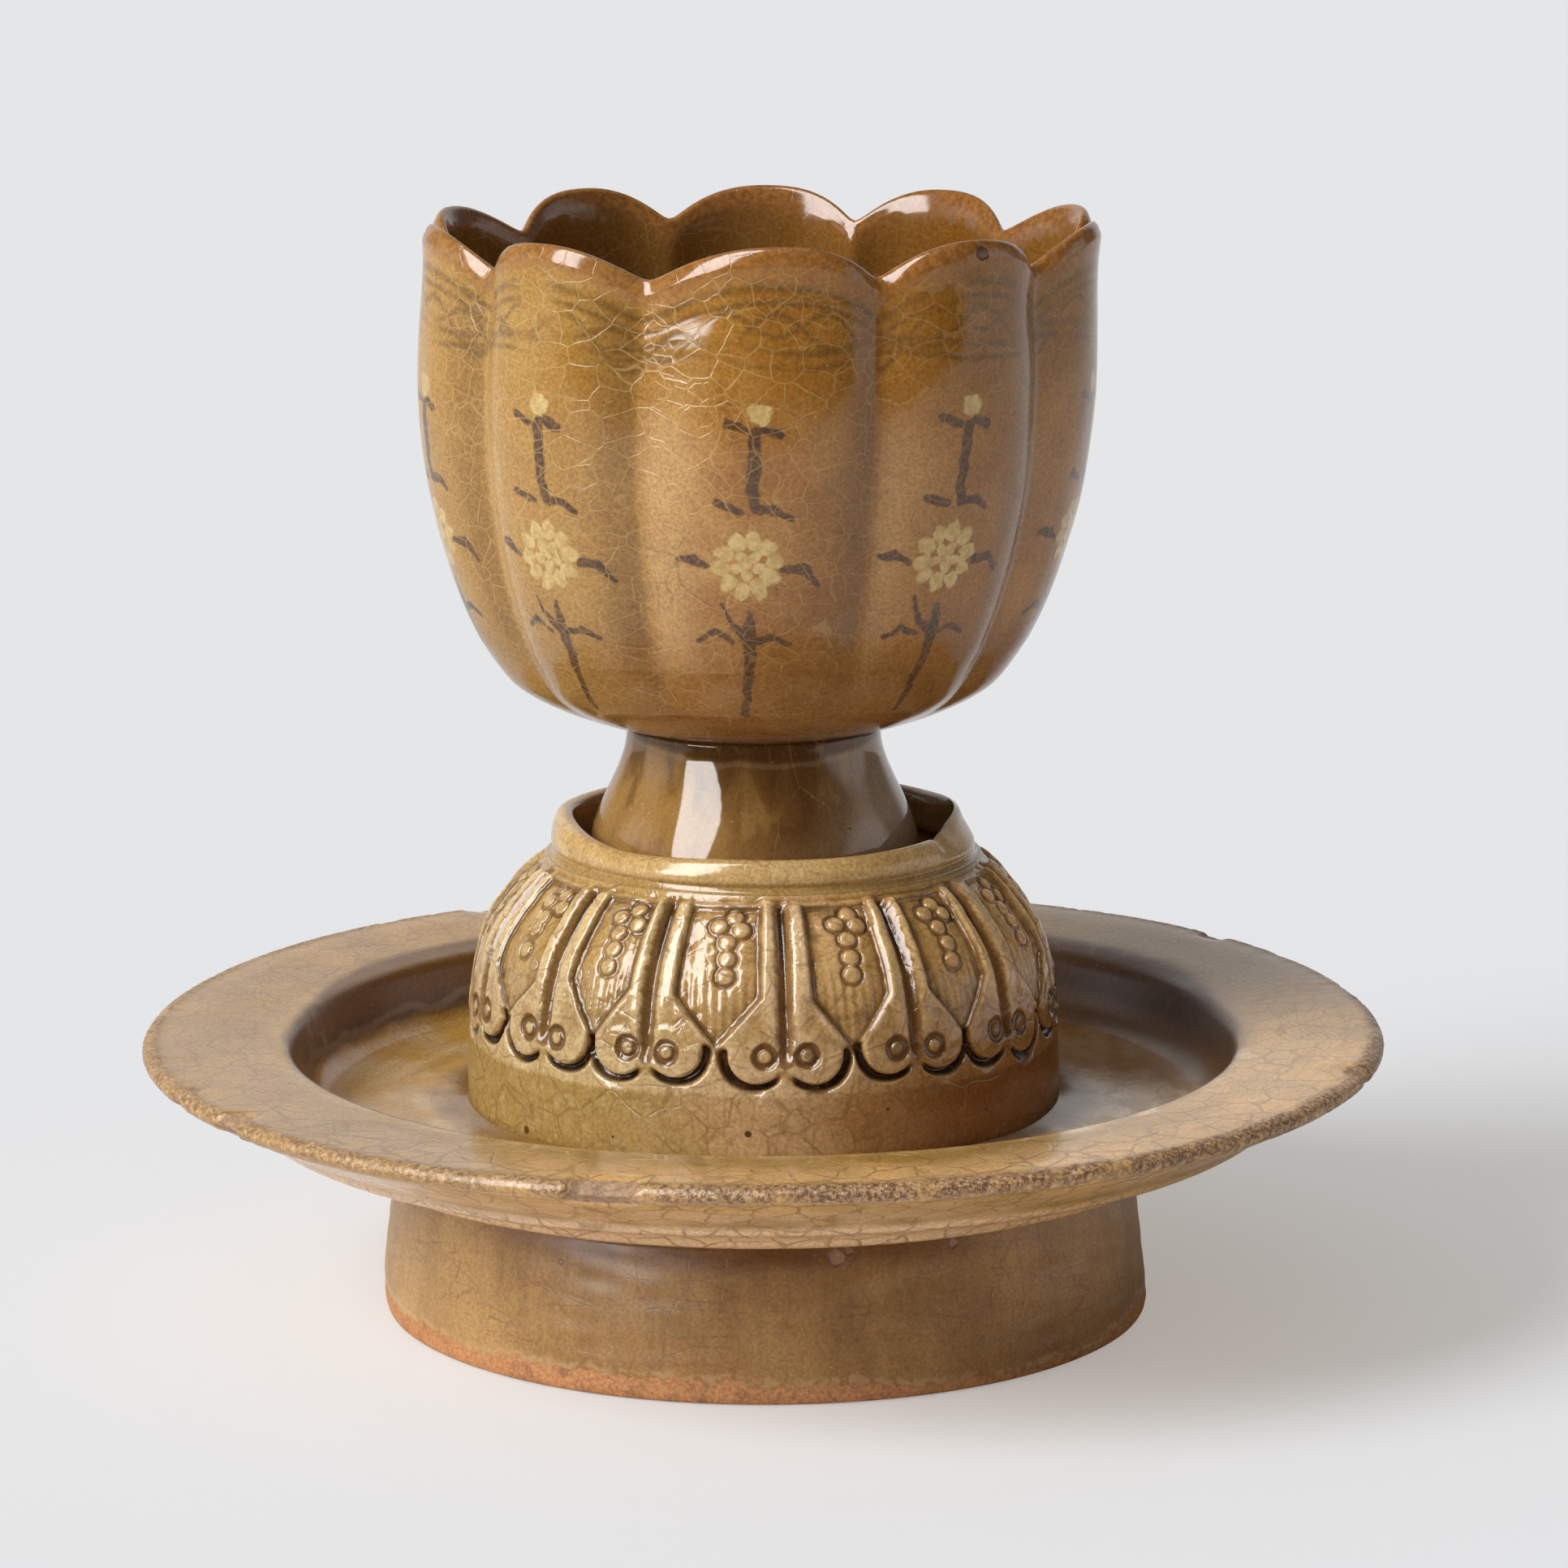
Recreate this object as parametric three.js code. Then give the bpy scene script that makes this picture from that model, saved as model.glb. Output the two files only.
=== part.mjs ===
// A glazed stoneware wine cup on its stand, in millimetres, +Z up, origin at the centre of the base.
// The cup is a ten-lobed bowl luted to a flared foot. It stands loose inside the collar of the stand.
// The stand is four thrown sections luted on flat seams: foot ring, dish, lotus pedestal and collar.
import * as THREE from 'three';

// Foot ring of the stand: tall, splayed and open underneath.
const footRingBaseRadius = 44.6;
const footRingTopRadius = 42.4;
const footRingHeight = 18.0;
const footRingWall = 4.4;
const footRingBulge = 0.45;
const footRingEdgeRounding = 0.8;

// Dish: a shallow well with a wide flat rim, pierced under the pedestal so that the hollow can vent in the kiln.
const dishFloorThickness = 6.2;
const dishRimRadius = 72.0;
const dishRimWidth = 16.8;
const dishRimThickness = 2.2;
const dishRimRise = 1.2;
const dishWellDepth = 7.5;
const dishWellWallRun = 3.7;
const dishUndersideBulge = 1.3;
const dishVentRadius = 22.0;

// Pedestal: a hollow dome with a plain band below and fourteen carved lotus petals above it.
const pedestalRadius = 33.9;
const pedestalHeight = 29.2;
const pedestalShoulderHeight = 9.0;
const pedestalShoulderAngle = 1.2;
const pedestalWall = 4.2;
const pedestalRoofThickness = 4.0;
const petalCount = 14;
const petalTurnDegrees = -8.7;
const petalRelief = 0.7;
const petalGrooveDepth = 0.7;
const petalShieldDepth = 0.35;
const petalTipHeight = 9.6;
const petalTipRise = 2.4;
const petalTipUndercut = 0.7;

// Collar: the low upright ring that keeps the cup's foot from sliding off.
const collarHeight = 4.8;
const collarWall = 2.0;
const collarClearance = 2.9;
const collarFlare = 1.2;
const collarLedge = 0.4;

// Cup foot: flared and hollow, with a rounded outer edge.
const cupFootRadius = 19.0;
const cupFootTopRadius = 14.4;
const cupFootHeight = 13.4;
const cupFootWall = 3.2;
const cupFootEdgeHeight = 3.4;
const cupFootEdgeTuck = 0.5;

// Cup bowl: a quarter ellipse below the belly, a slight waist above it, and a lip that turns out.
const bowlHeight = 60.4;
const bowlBellyRadius = 38.6;
const bowlBellyHeight = 44.5;
const bowlFloorThickness = 3.4;
const bowlWall = 2.1;
const bowlWaist = 0.45;
const bowlLipFlare = 0.25;
const bowlSeamMargin = 0.3;
const lobeCount = 10;
const lobeFurrowDepth = 1.7;
const lobeNotchDepth = 3.8;

// The stand stacks upwards from the base, and each section takes its height from the one below.
const dishSeamZ = footRingHeight;
const dishFloorZ = dishSeamZ + dishFloorThickness;
const seatZ = dishFloorZ + pedestalHeight;
const cupSeamZ = seatZ + cupFootHeight;
const bowlRimZ = cupSeamZ + bowlHeight;

// The collar goes round the cup's foot, and the pedestal's top carries the collar.
const collarInnerRadius = cupFootRadius + collarClearance;
const collarTopRadius = collarInnerRadius + collarWall;
const collarBaseRadius = collarTopRadius + collarFlare;
const pedestalTopRadius = collarBaseRadius + collarLedge;

const columnsPerLobe = 8;
const columnsPerPetal = 10;
const turnedColumns = 72;

function celadon(hex, roughness = 0.22) {
  return new THREE.MeshStandardMaterial({ color: hex, roughness, metalness: 0 });
}

// Spins an outline of [radius, height] points about Z. The outline runs up the outside and down the inside.
// Where a shape is given, it moves each point by its angle: (point, angle) gives a new [radius, height].
// The turn, in radians, then swings the finished pattern round the axis.
function spin(name, outline, columns, material, shape = null, turn = 0) {
  const points = outline.map(([radius, height]) => new THREE.Vector2(radius, height));
  const geometry = new THREE.LatheGeometry(points, columns);
  geometry.rotateX(Math.PI / 2);
  if (shape) {
    const position = geometry.attributes.position;
    for (let i = 0; i < position.count; i += 1) {
      const column = Math.floor(i / outline.length) % columns;
      const angle = (column / columns) * 2 * Math.PI;
      const [radius, height] = shape(outline[i % outline.length], angle);
      position.setXYZ(i, radius * Math.sin(angle + turn), -radius * Math.cos(angle + turn), height);
    }
  }
  const mesh = new THREE.Mesh(geometry, material);
  mesh.name = name;
  return mesh;
}

// Evenly spaced values from 0 to 1, both ends included.
function steps(count) {
  return Array.from({ length: count + 1 }, (_, i) => i / count);
}

function smoothstep(t) {
  const x = Math.min(1, Math.max(0, t));
  return x * x * (3 - 2 * x);
}

// Distance from the middle of the nearest of some equal sectors, from -1 to 1 at the sector's edges.
function acrossSector(angle, count) {
  const turn = (angle / (2 * Math.PI)) * count;
  return 2 * (turn - Math.round(turn));
}

function footRing() {
  const innerBase = footRingBaseRadius - footRingWall;
  const innerTop = footRingTopRadius - footRingWall;
  const outside = steps(5).map((t) => [
    footRingBaseRadius + (footRingTopRadius - footRingBaseRadius) * t + footRingBulge * Math.sin(Math.PI * t),
    footRingEdgeRounding + (footRingHeight - footRingEdgeRounding) * t,
  ]);
  const outline = [
    [innerBase, 0],
    [footRingBaseRadius - footRingEdgeRounding, 0],
    ...outside,
    [innerTop, footRingHeight],
    [innerBase, 0],
  ];
  return spin('stand_foot_ring', outline, turnedColumns, celadon(0x9a7d50, 0.3));
}

function dish() {
  const wellEdgeZ = dishFloorZ + dishWellDepth;
  const wellEdgeRadius = dishRimRadius - dishRimWidth;
  const wellFloorRadius = wellEdgeRadius - dishWellWallRun;
  const rimTopZ = wellEdgeZ + dishRimRise;
  const rimUnderZ = rimTopZ - dishRimThickness;
  const seamRadius = footRingTopRadius;
  // Under the dish the wall swells at two turned ridges: [share of the way out, share of the bulge].
  const underside = [[0.13, 0.6], [0.3, 1], [0.45, 0.7], [0.61, 1], [0.82, 0.5]].map(([t, swell]) => [
    seamRadius + (dishRimRadius - seamRadius) * t,
    dishSeamZ + (rimUnderZ - dishSeamZ) * t - dishUndersideBulge * swell,
  ]);
  const outline = [
    [dishVentRadius, dishSeamZ],
    [seamRadius, dishSeamZ],
    ...underside,
    [dishRimRadius - dishRimThickness * 0.4, rimUnderZ],
    [dishRimRadius, rimUnderZ + dishRimThickness * 0.4],
    [dishRimRadius - dishRimThickness * 0.1, rimUnderZ + dishRimThickness * 0.85],
    [dishRimRadius - dishRimThickness * 0.5, rimTopZ],
    [(dishRimRadius + wellEdgeRadius) / 2, (rimTopZ + wellEdgeZ) / 2],
    [wellEdgeRadius, wellEdgeZ],
    [wellFloorRadius + dishWellWallRun * 0.45, dishFloorZ + dishWellDepth * 0.55],
    [wellFloorRadius + dishWellWallRun * 0.15, dishFloorZ + dishWellDepth * 0.15],
    [wellFloorRadius, dishFloorZ],
    [dishVentRadius, dishFloorZ],
    [dishVentRadius, dishSeamZ],
  ];
  return spin('stand_dish', outline, turnedColumns, celadon(0xa88b5c));
}

// Height of the scalloped edge above its lowest point: two round lobes to each petal.
function petalTipAt(across) {
  const acrossLobe = (Math.abs(across) - 0.5) / 0.5;
  return petalTipRise * (1 - Math.sqrt(Math.max(0, 1 - acrossLobe * acrossLobe)));
}

function pedestal() {
  const shoulderZ = dishFloorZ + pedestalShoulderHeight;
  const tipZ = dishFloorZ + petalTipHeight;
  const innerRadius = pedestalRadius - pedestalWall;
  const innerTopRadius = pedestalTopRadius - pedestalWall;
  const roofZ = seatZ - pedestalRoofThickness;
  const cornerCosine = Math.cos(pedestalShoulderAngle);
  // Radius of the dome at a height: part of an ellipse from the shoulder to the seat.
  const domeRadiusAt = (height) => {
    const rise = Math.max(0, (height - shoulderZ) / (seatZ - shoulderZ));
    const angle = Math.asin(Math.min(1, rise) * Math.sin(pedestalShoulderAngle));
    const share = (Math.cos(angle) - cornerCosine) / (1 - cornerCosine);
    return pedestalTopRadius + (pedestalRadius - pedestalTopRadius) * share;
  };
  const dome = steps(7).map((t) => tipZ + (seatZ - tipZ) * Math.sin(t * Math.PI * 0.5));
  const petalRows = dome.slice(0, -1);
  const outline = [
    [innerRadius, dishFloorZ],
    [pedestalRadius, dishFloorZ],
    [pedestalRadius, tipZ - petalTipUndercut],
    ...petalRows.map((height) => [domeRadiusAt(height), height]),
    [pedestalTopRadius, seatZ],
    [0, seatZ],
    [0, roofZ],
    [innerTopRadius, roofZ],
    [innerRadius, shoulderZ],
    [innerRadius, dishFloorZ],
  ];
  const bandTopRow = 2;
  const tipRow = 3;
  const lastPetalRow = tipRow + petalRows.length - 1;
  const carve = (point, angle) => {
    const row = outline.indexOf(point);
    const across = acrossSector(angle, petalCount);
    const [radius, height] = point;
    if (row < bandTopRow || row > lastPetalRow) return [radius, height];
    const up = (row - tipRow) / (lastPetalRow - tipRow + 1);
    const lift = row <= tipRow ? petalTipAt(across) : petalTipAt(across) * Math.max(0, 1 - 3 * up);
    const newHeight = height + lift;
    if (row === bandTopRow) return [domeRadiusAt(newHeight), newHeight];
    const fade = 1 - smoothstep((up - 0.75) / 0.35);
    const groove = Math.abs(across) > 0.95 ? petalGrooveDepth : 0;
    const shield = Math.abs(across) < 0.5 && up > 0.1 ? petalShieldDepth : 0;
    const relief = (petalRelief - groove - shield) * fade;
    return [domeRadiusAt(newHeight) + relief, newHeight];
  };
  const turn = THREE.MathUtils.degToRad(petalTurnDegrees);
  return spin('stand_pedestal', outline, petalCount * columnsPerPetal, celadon(0xa98c58), carve, turn);
}

function collar() {
  const topZ = seatZ + collarHeight;
  const crownZ = topZ - collarWall * 0.35;
  const outline = [
    [collarInnerRadius, seatZ],
    [collarBaseRadius, seatZ],
    [collarBaseRadius, seatZ + collarHeight * 0.22],
    [collarTopRadius + collarFlare * 0.3, seatZ + collarHeight * 0.5],
    [collarTopRadius, crownZ],
    [collarTopRadius - collarWall * 0.3, topZ],
    [collarInnerRadius + collarWall * 0.3, topZ],
    [collarInnerRadius, crownZ],
    [collarInnerRadius, seatZ],
  ];
  return spin('stand_collar', outline, turnedColumns, celadon(0xb0925f));
}

function cupFoot() {
  const edgeZ = seatZ + cupFootEdgeHeight;
  // The flare is a quarter of a cosine wave from the edge up to the seam with the bowl.
  const flare = steps(6).map((t) => [
    cupFootTopRadius + (cupFootRadius - cupFootTopRadius) * (1 - Math.sin(t * Math.PI * 0.5)),
    edgeZ + (cupSeamZ - edgeZ) * t,
  ]);
  const innerBase = cupFootRadius - cupFootWall;
  const innerTop = cupFootTopRadius - cupFootWall;
  const outline = [
    [innerBase, seatZ],
    [cupFootRadius - cupFootEdgeTuck, seatZ],
    ...flare,
    [innerTop, cupSeamZ],
    [innerTop, (cupSeamZ + seatZ) / 2],
    [innerBase, seatZ],
  ];
  return spin('cup_foot', outline, turnedColumns, celadon(0x8a6434));
}

// The notch of the rim, from 0 at a lobe's crest to 1 between two lobes: broad crests and narrow notches.
function notchAt(across) {
  return smoothstep(Math.abs(across) ** 1.4);
}

function bowl() {
  const bellyZ = cupSeamZ + bowlBellyHeight;
  const floorZ = cupSeamZ + bowlFloorThickness;
  const seamRadius = cupFootTopRadius + bowlSeamMargin;
  const innerBelly = bowlBellyRadius - bowlWall;
  const rimRun = bowlRimZ - bellyZ;
  // Above the belly the wall dips to a waist and turns out at the lip.
  const upperOffset = (t) => bowlLipFlare * t ** 3 - bowlWaist * Math.sin(Math.PI * t);
  const outerLower = steps(8).map((t) => [
    seamRadius + (bowlBellyRadius - seamRadius) * Math.sin(t * Math.PI * 0.5),
    cupSeamZ + bowlBellyHeight * (1 - Math.cos(t * Math.PI * 0.5)),
  ]);
  const outerUpper = [0.35, 0.7, 0.94].map((t) => [bowlBellyRadius + upperOffset(t), bellyZ + rimRun * t]);
  const innerUpper = [0.95, 0.6, 0.3].map((t) => [innerBelly + upperOffset(t), bellyZ + rimRun * t]);
  const innerLower = steps(7).map((t) => [
    innerBelly * Math.cos(t * Math.PI * 0.5),
    bellyZ - (bellyZ - floorZ) * Math.sin(t * Math.PI * 0.5),
  ]);
  const outline = [
    [0, cupSeamZ],
    ...outerLower,
    ...outerUpper,
    [bowlBellyRadius - bowlWall * 0.4, bowlRimZ],
    ...innerUpper,
    ...innerLower.slice(0, -1),
    [0, floorZ],
  ];
  // Presses the furrows in from the belly's width outwards, and cuts the notches into the rim.
  const press = (point, angle) => {
    const across = acrossSector(angle, lobeCount);
    const [radius, height] = point;
    const depth = lobeFurrowDepth * smoothstep((radius - seamRadius) / (bowlBellyRadius - seamRadius));
    const rimShare = smoothstep((height - bellyZ) / rimRun);
    return [radius - depth * notchAt(across), height - lobeNotchDepth * notchAt(across) * rimShare];
  };
  return spin('cup_bowl', outline, lobeCount * columnsPerLobe, celadon(0x976e38), press);
}

const stand = new THREE.Group();
stand.add(footRing(), dish(), pedestal(), collar());

const cup = new THREE.Group();
cup.add(cupFoot(), bowl());

const cupAndStand = new THREE.Group();
cupAndStand.add(stand, cup);

export default cupAndStand;
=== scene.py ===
"""A stoneware wine cup on its stand: an inlaid, lobed celadon bowl over a carved pedestal and a wide dish.

The script follows the object as it is put together, from the foot ring up to the rim of the cup. Each
section holds one piece: its sizes in millimetres, its surface, its glaze and its place in the frame.
The studio comes last.
"""

import math

import bpy
import numpy as np
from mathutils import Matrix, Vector


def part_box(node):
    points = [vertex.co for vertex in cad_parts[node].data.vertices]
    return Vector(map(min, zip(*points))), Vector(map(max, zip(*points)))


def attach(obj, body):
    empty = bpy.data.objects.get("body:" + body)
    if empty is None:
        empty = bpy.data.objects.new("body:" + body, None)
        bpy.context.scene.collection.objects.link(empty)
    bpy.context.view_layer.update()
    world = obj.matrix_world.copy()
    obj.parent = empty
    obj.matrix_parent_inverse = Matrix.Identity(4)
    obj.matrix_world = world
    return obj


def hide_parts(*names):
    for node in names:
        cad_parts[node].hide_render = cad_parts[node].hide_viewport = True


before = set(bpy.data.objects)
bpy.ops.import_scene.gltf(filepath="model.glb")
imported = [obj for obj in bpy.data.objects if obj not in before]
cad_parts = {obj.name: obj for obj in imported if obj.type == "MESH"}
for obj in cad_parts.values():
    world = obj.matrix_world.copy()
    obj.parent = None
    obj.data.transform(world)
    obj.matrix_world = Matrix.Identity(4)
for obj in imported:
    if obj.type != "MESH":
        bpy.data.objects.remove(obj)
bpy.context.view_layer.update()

# The foot ring of the stand is thrown by itself, tall and splayed, and luted under the dish with slip.
# Its olive glaze is thin, and stops short of the base, where the bare stoneware burnt orange.
MM = 0.001
ring_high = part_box("stand_foot_ring")[1]
ring_height = ring_high.z / MM
ring_base = ring_high.x / MM
ring_wall = 4.4
ring_lean = 0.7
ring_columns = 400
ring_pits = [
    (8.0, 43.4, 16.9, 0.55), (11.0, 43.2, 16.4, 1.0), (12.8, 43.2, 17.2, 0.7),
    (29.5, 43.3, 16.8, 0.75), (27.6, 43.3, 17.1, 0.4), (-31, 43.5, 14.5, 0.35),
]
ring_clay = (0.52, 0.235, 0.085, 1)
ring_burnt = (0.28, 0.125, 0.055, 1)
ring_thin = (0.46, 0.255, 0.074, 1)
ring_thick = (0.33, 0.165, 0.038, 1)
ring_streak = (0.17, 0.095, 0.035, 1)
ring_painted_light = (0.52, 0.34, 0.14, 1)
ring_painted_shade = (0.22, 0.095, 0.024, 1)
ring_crack = (0.20, 0.085, 0.03, 1)
ring_pit = (0.34, 0.17, 0.10, 1)
ring_glaze_edge = (0.58, 0.36, 0.17, 1)
ring_shadow_tint = (0.58, 0.46, 0.30)
bubble_tan = (0.62, 0.47, 0.26, 1)


def outline(start, *stretches):
    """Rows of [radius, height]. A stretch is (steps, points): a Catmull-Rom curve through its points, from
    where the last one ended, cut into equal steps of its length. Stretches meet at corners."""
    rows = []
    for steps, points in stretches:
        points = np.array([start, *points], float)
        start = points[-1]
        knots = np.vstack([2 * points[0] - points[1], points, 2 * points[-1] - points[-2]])
        share = np.linspace(0, 1, 40)[:, None]
        curve = np.vstack([
            b + share * (c - a) / 2
            + share**2 * (a - 2.5 * b + 2 * c - d / 2)
            + share**3 * (3 * b - a - 3 * c + d) / 2
            for a, b, c, d in zip(knots, knots[1:], knots[2:], knots[3:])
        ])
        length = np.concatenate([[0], np.cumsum(np.hypot(*np.diff(curve, axis=0).T))])
        even = np.linspace(0, length[-1], steps + 1)[:-1]
        rows.append(np.column_stack([np.interp(even, length, curve[:, k]) for k in (0, 1)]))
    return np.vstack(rows)


def sweep(rows, angles):
    """The grids of angle, radius and height that an outline gives when it is turned through angles."""
    angle, radius = np.meshgrid(angles, rows[:, 0])
    height = np.meshgrid(angles, rows[:, 1])[1]
    return angle, radius, height


def full_turn(columns):
    """Evenly spaced angles round the axis. Angle 0 faces the viewer and a quarter turn is to the right."""
    return np.arange(columns) * 2 * np.pi / columns - np.pi


def skin(name, angle, radius, height, poles=False, marks=None, aside=0):
    """A closed mesh from grids of angle, radius and height in millimetres, moved aside along x. Without
    poles the last row joins the first. With poles the end rows are single points on the axis. Marks are
    grids of numbers that stay with the points."""
    grid = np.stack([radius * np.sin(angle) + aside, -radius * np.cos(angle), height], axis=-1) * MM
    rows, columns = radius.shape
    if poles:
        number = np.arange((rows - 2) * columns).reshape(rows - 2, columns) + 1
    else:
        number = np.arange(rows * columns).reshape(rows, columns)
        number = np.vstack([number, number[:1]])
    beside = np.roll(number, -1, axis=1)
    faces = np.stack([number[:-1], beside[:-1], beside[1:], number[1:]], axis=-1).reshape(-1, 4).tolist()
    if poles:
        first = np.zeros(columns, int)
        last = first + number[-1, -1] + 1
        faces = np.column_stack([first, beside[0], number[0]]).tolist() + faces
        faces += np.column_stack([number[-1], beside[-1], last]).tolist()

    def on_points(values):
        if poles:
            between = values[1:-1].reshape(-1, *values.shape[2:])
            return np.concatenate([values[:1, 0], between, values[-1:, 0]])
        return values.reshape(-1, *values.shape[2:])

    mesh = bpy.data.meshes.new(name)
    mesh.from_pydata(on_points(grid).tolist(), [], faces)
    mesh.polygons.foreach_set("use_smooth", np.ones(len(faces), bool))
    for mark, values in (marks or {}).items():
        kept = mesh.attributes.new(mark, "FLOAT", "POINT")
        kept.data.foreach_set("value", on_points(values).astype(np.float32))
    piece = bpy.data.objects.new(name, mesh)
    bpy.context.scene.collection.objects.link(piece)
    return piece


def ease(value, low, high):
    """0 below low, 1 above high, and a smooth step between them."""
    share = np.clip((value - low) / (high - low), 0, 1)
    return share * share * (3 - 2 * share)


def wobble(seed, angle, height, waves, tall):
    """Uneven hand work, about -1 to 1: seeded sine waves, up to so many round the axis and so tall."""
    draw = np.random.default_rng(seed)
    total = np.zeros(np.broadcast(angle, height).shape)
    for _ in range(24):
        around = draw.integers(1, waves + 1)
        up = draw.normal() * 2 * np.pi / tall
        total += np.sin(around * angle + up * height + draw.uniform(0, 2 * np.pi))
    return total / 5


class Shade:
    """A number, colour or vector that varies over a surface. Arithmetic on it adds Math nodes."""

    def __init__(self, finish, socket):
        self.finish = finish
        self.socket = socket

    def maths(self, operation, *values):
        return self.finish.node("Math", {"operation": operation}, dict(enumerate(values)))

    def __add__(self, other):
        return self.maths("ADD", self, other)

    def __sub__(self, other):
        return self.maths("SUBTRACT", self, other)

    def __rsub__(self, other):
        return self.maths("SUBTRACT", other, self)

    def __mul__(self, other):
        return self.maths("MULTIPLY", self, other)

    def __truediv__(self, other):
        return self.maths("DIVIDE", self, other)

    def __abs__(self):
        return self.maths("ABSOLUTE", self)

    __radd__ = __add__
    __rmul__ = __mul__

    def least(self, other):
        return self.maths("MINIMUM", self, other)

    def most(self, other):
        return self.maths("MAXIMUM", self, other)

    def sine(self):
        return self.maths("SINE", self)

    def ease(self, low, high):
        """0 below low, 1 above high, and a smooth step between them. It falls where low is above high."""
        span = {"Value": self, "From Min": low, "From Max": high}
        return self.finish.node("MapRange", {"interpolation_type": "SMOOTHSTEP"}, span)

    def line(self, middle, near, far):
        """1 within near of a value and 0 beyond far of it."""
        return 1 - abs(self - middle).ease(near, far)

    def output(self, index):
        """Another output of the same node."""
        return Shade(self.finish, self.socket.node.outputs[index])


class Finish:
    """The node tree of a material or a world."""

    def __init__(self, owner):
        owner.use_nodes = True
        self.owner = owner
        self.tree = owner.node_tree
        self.tree.nodes.clear()

    def node(self, kind, settings, sockets, output=0):
        """Adds a node: first its settings, then the values or links of its sockets."""
        node = self.tree.nodes.new("ShaderNode" + kind)
        for name, value in settings.items():
            setattr(node, name, value)
        for name, value in sockets.items():
            if isinstance(value, Shade):
                self.tree.links.new(value.socket, node.inputs[name])
            else:
                node.inputs[name].default_value = value
        return Shade(self, node.outputs[output]) if node.outputs else None

    def vector(self, operation, *values):
        return self.node("VectorMath", {"operation": operation}, dict(enumerate(values)))

    def scaled(self, vector, number):
        return self.node("VectorMath", {"operation": "SCALE"}, {0: vector, "Scale": number})

    def place(self):
        """Where the point is on the piece, in millimetres."""
        return self.scaled(self.node("TexCoord", {}, {}, output=3), 1 / MM)

    def mark(self, name):
        """A number kept on the mesh's points."""
        return self.node("Attribute", {"attribute_name": name}, {}, output=2)

    def parts(self, vector):
        """The three numbers of a vector."""
        return [self.node("SeparateXYZ", {}, {0: vector}, output=k) for k in range(3)]

    def from_axis(self, place):
        """How far the point is from the upright axis."""
        return self.vector("LENGTH", self.vector("MULTIPLY", place, (1, 1, 0))).output(1)

    def stretched(self, place, *along):
        """The place times a number along x, y and z. Below 1, a pattern is drawn out that way."""
        return self.vector("MULTIPLY", place, along)

    def noise(self, place, size, detail=3.0, rough=0.5):
        """Soft noise around 0.5, in blots about size across."""
        sockets = {"Vector": place, "Scale": 1 / size, "Detail": detail, "Roughness": rough}
        return self.node("TexNoise", {}, sockets)

    def stray(self, place, reach, size, detail=3.0, rough=0.5):
        """Noise around zero, by up to half of reach either way."""
        return (self.noise(place, size, detail, rough) - 0.5) * reach

    def stirred(self, place, size, reach):
        """The place pushed about by up to reach, in swirls about size across."""
        swirl = self.noise(place, size, detail=2.0).output(1)
        centred = self.vector("SUBTRACT", swirl, (0.5, 0.5, 0.5))
        return self.vector("MULTIPLY_ADD", centred, (2 * reach,) * 3, place)

    def mix(self, share, under, over):
        """The colour over in place of the colour under, by a share."""
        return self.node("Mix", {"data_type": "RGBA"}, {0: share, 6: under, 7: over}, output=2)

    def tinted(self, share, colour, tint):
        """The colour times a tint, by a share."""
        return self.mix(share, colour, self.vector("MULTIPLY", colour, tint))

    def lit(self, colour, level):
        """A colour times a number, so that it is darker below 1 and lighter above it."""
        settings = {"data_type": "RGBA", "blend_type": "MULTIPLY"}
        return self.node("Mix", settings, {0: 1.0, 6: colour, 7: level}, output=2)


def crackle(finish, place, size, width, seed=0):
    """Cracks in a glaze, 1 along a crack and 0 off it: the edges of uneven cells about size across."""
    shifted = finish.vector("ADD", place, (17.0 * seed, 5.0 * seed, 0.0))
    bent = finish.stirred(shifted, size * 1.2, size * 0.2)
    sockets = {"Vector": bent, "Scale": 1 / size}
    edge = finish.node("TexVoronoi", {"feature": "DISTANCE_TO_EDGE"}, sockets)
    return 1 - (edge * size).ease(width * 0.3, width)


def grainy(finish, place, colour, strength=0.2):
    """A colour with the fine sandy grain of the body under the glaze, and a few pale bubbles in it."""
    grain = finish.noise(place, 0.42, detail=3.0, rough=0.75).ease(0.3, 0.7)
    colour = finish.lit(colour, grain * (2 * strength) + (1 - strength))
    bubble = finish.node("TexVoronoi", {}, {"Vector": place, "Scale": 1 / 1.3})
    lit = (1 - bubble.ease(0.07, 0.12)) * finish.noise(place, 3.0).ease(0.45, 0.6)
    return finish.mix(lit * 0.35, colour, bubble_tan)


def ripple(finish, place):
    """The gently uneven surface of a melted glaze, in millimetres."""
    return finish.noise(place, 9.0, detail=1.0) * 0.035 + finish.noise(place, 1.6, detail=1.0) * 0.0025


def glaze(finish, colour, rough, relief):
    """Ends a finish in a glossy surface whose relief is given in millimetres."""
    bump = finish.node("Bump", {}, {"Height": relief, "Distance": MM})
    sockets = {"Base Color": colour, "Roughness": rough, "Normal": bump, "IOR": 1.5}
    surface = finish.node("BsdfPrincipled", {}, sockets)
    finish.node("OutputMaterial", {}, {"Surface": surface})
    return finish.owner


def least_of(numbers):
    """The least of several numbers that vary over a surface."""
    least, *others = numbers
    for other in others:
        least = least.least(other)
    return least


def on_wall(degrees, radius, height):
    """A point at an angle, radius and height."""
    angle = math.radians(degrees)
    return (radius * math.sin(angle), -radius * math.cos(angle), height)


def spots(finish, place, centres):
    """1 inside small round spots, each given as its angle, distance from the axis, height and radius."""
    away = least_of(
        finish.vector("DISTANCE", place, on_wall(*where)).output(1) / radius for *where, radius in centres
    )
    return 1 - (away + finish.stray(place, 0.9, 0.9)).ease(0.75, 1.1)


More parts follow.
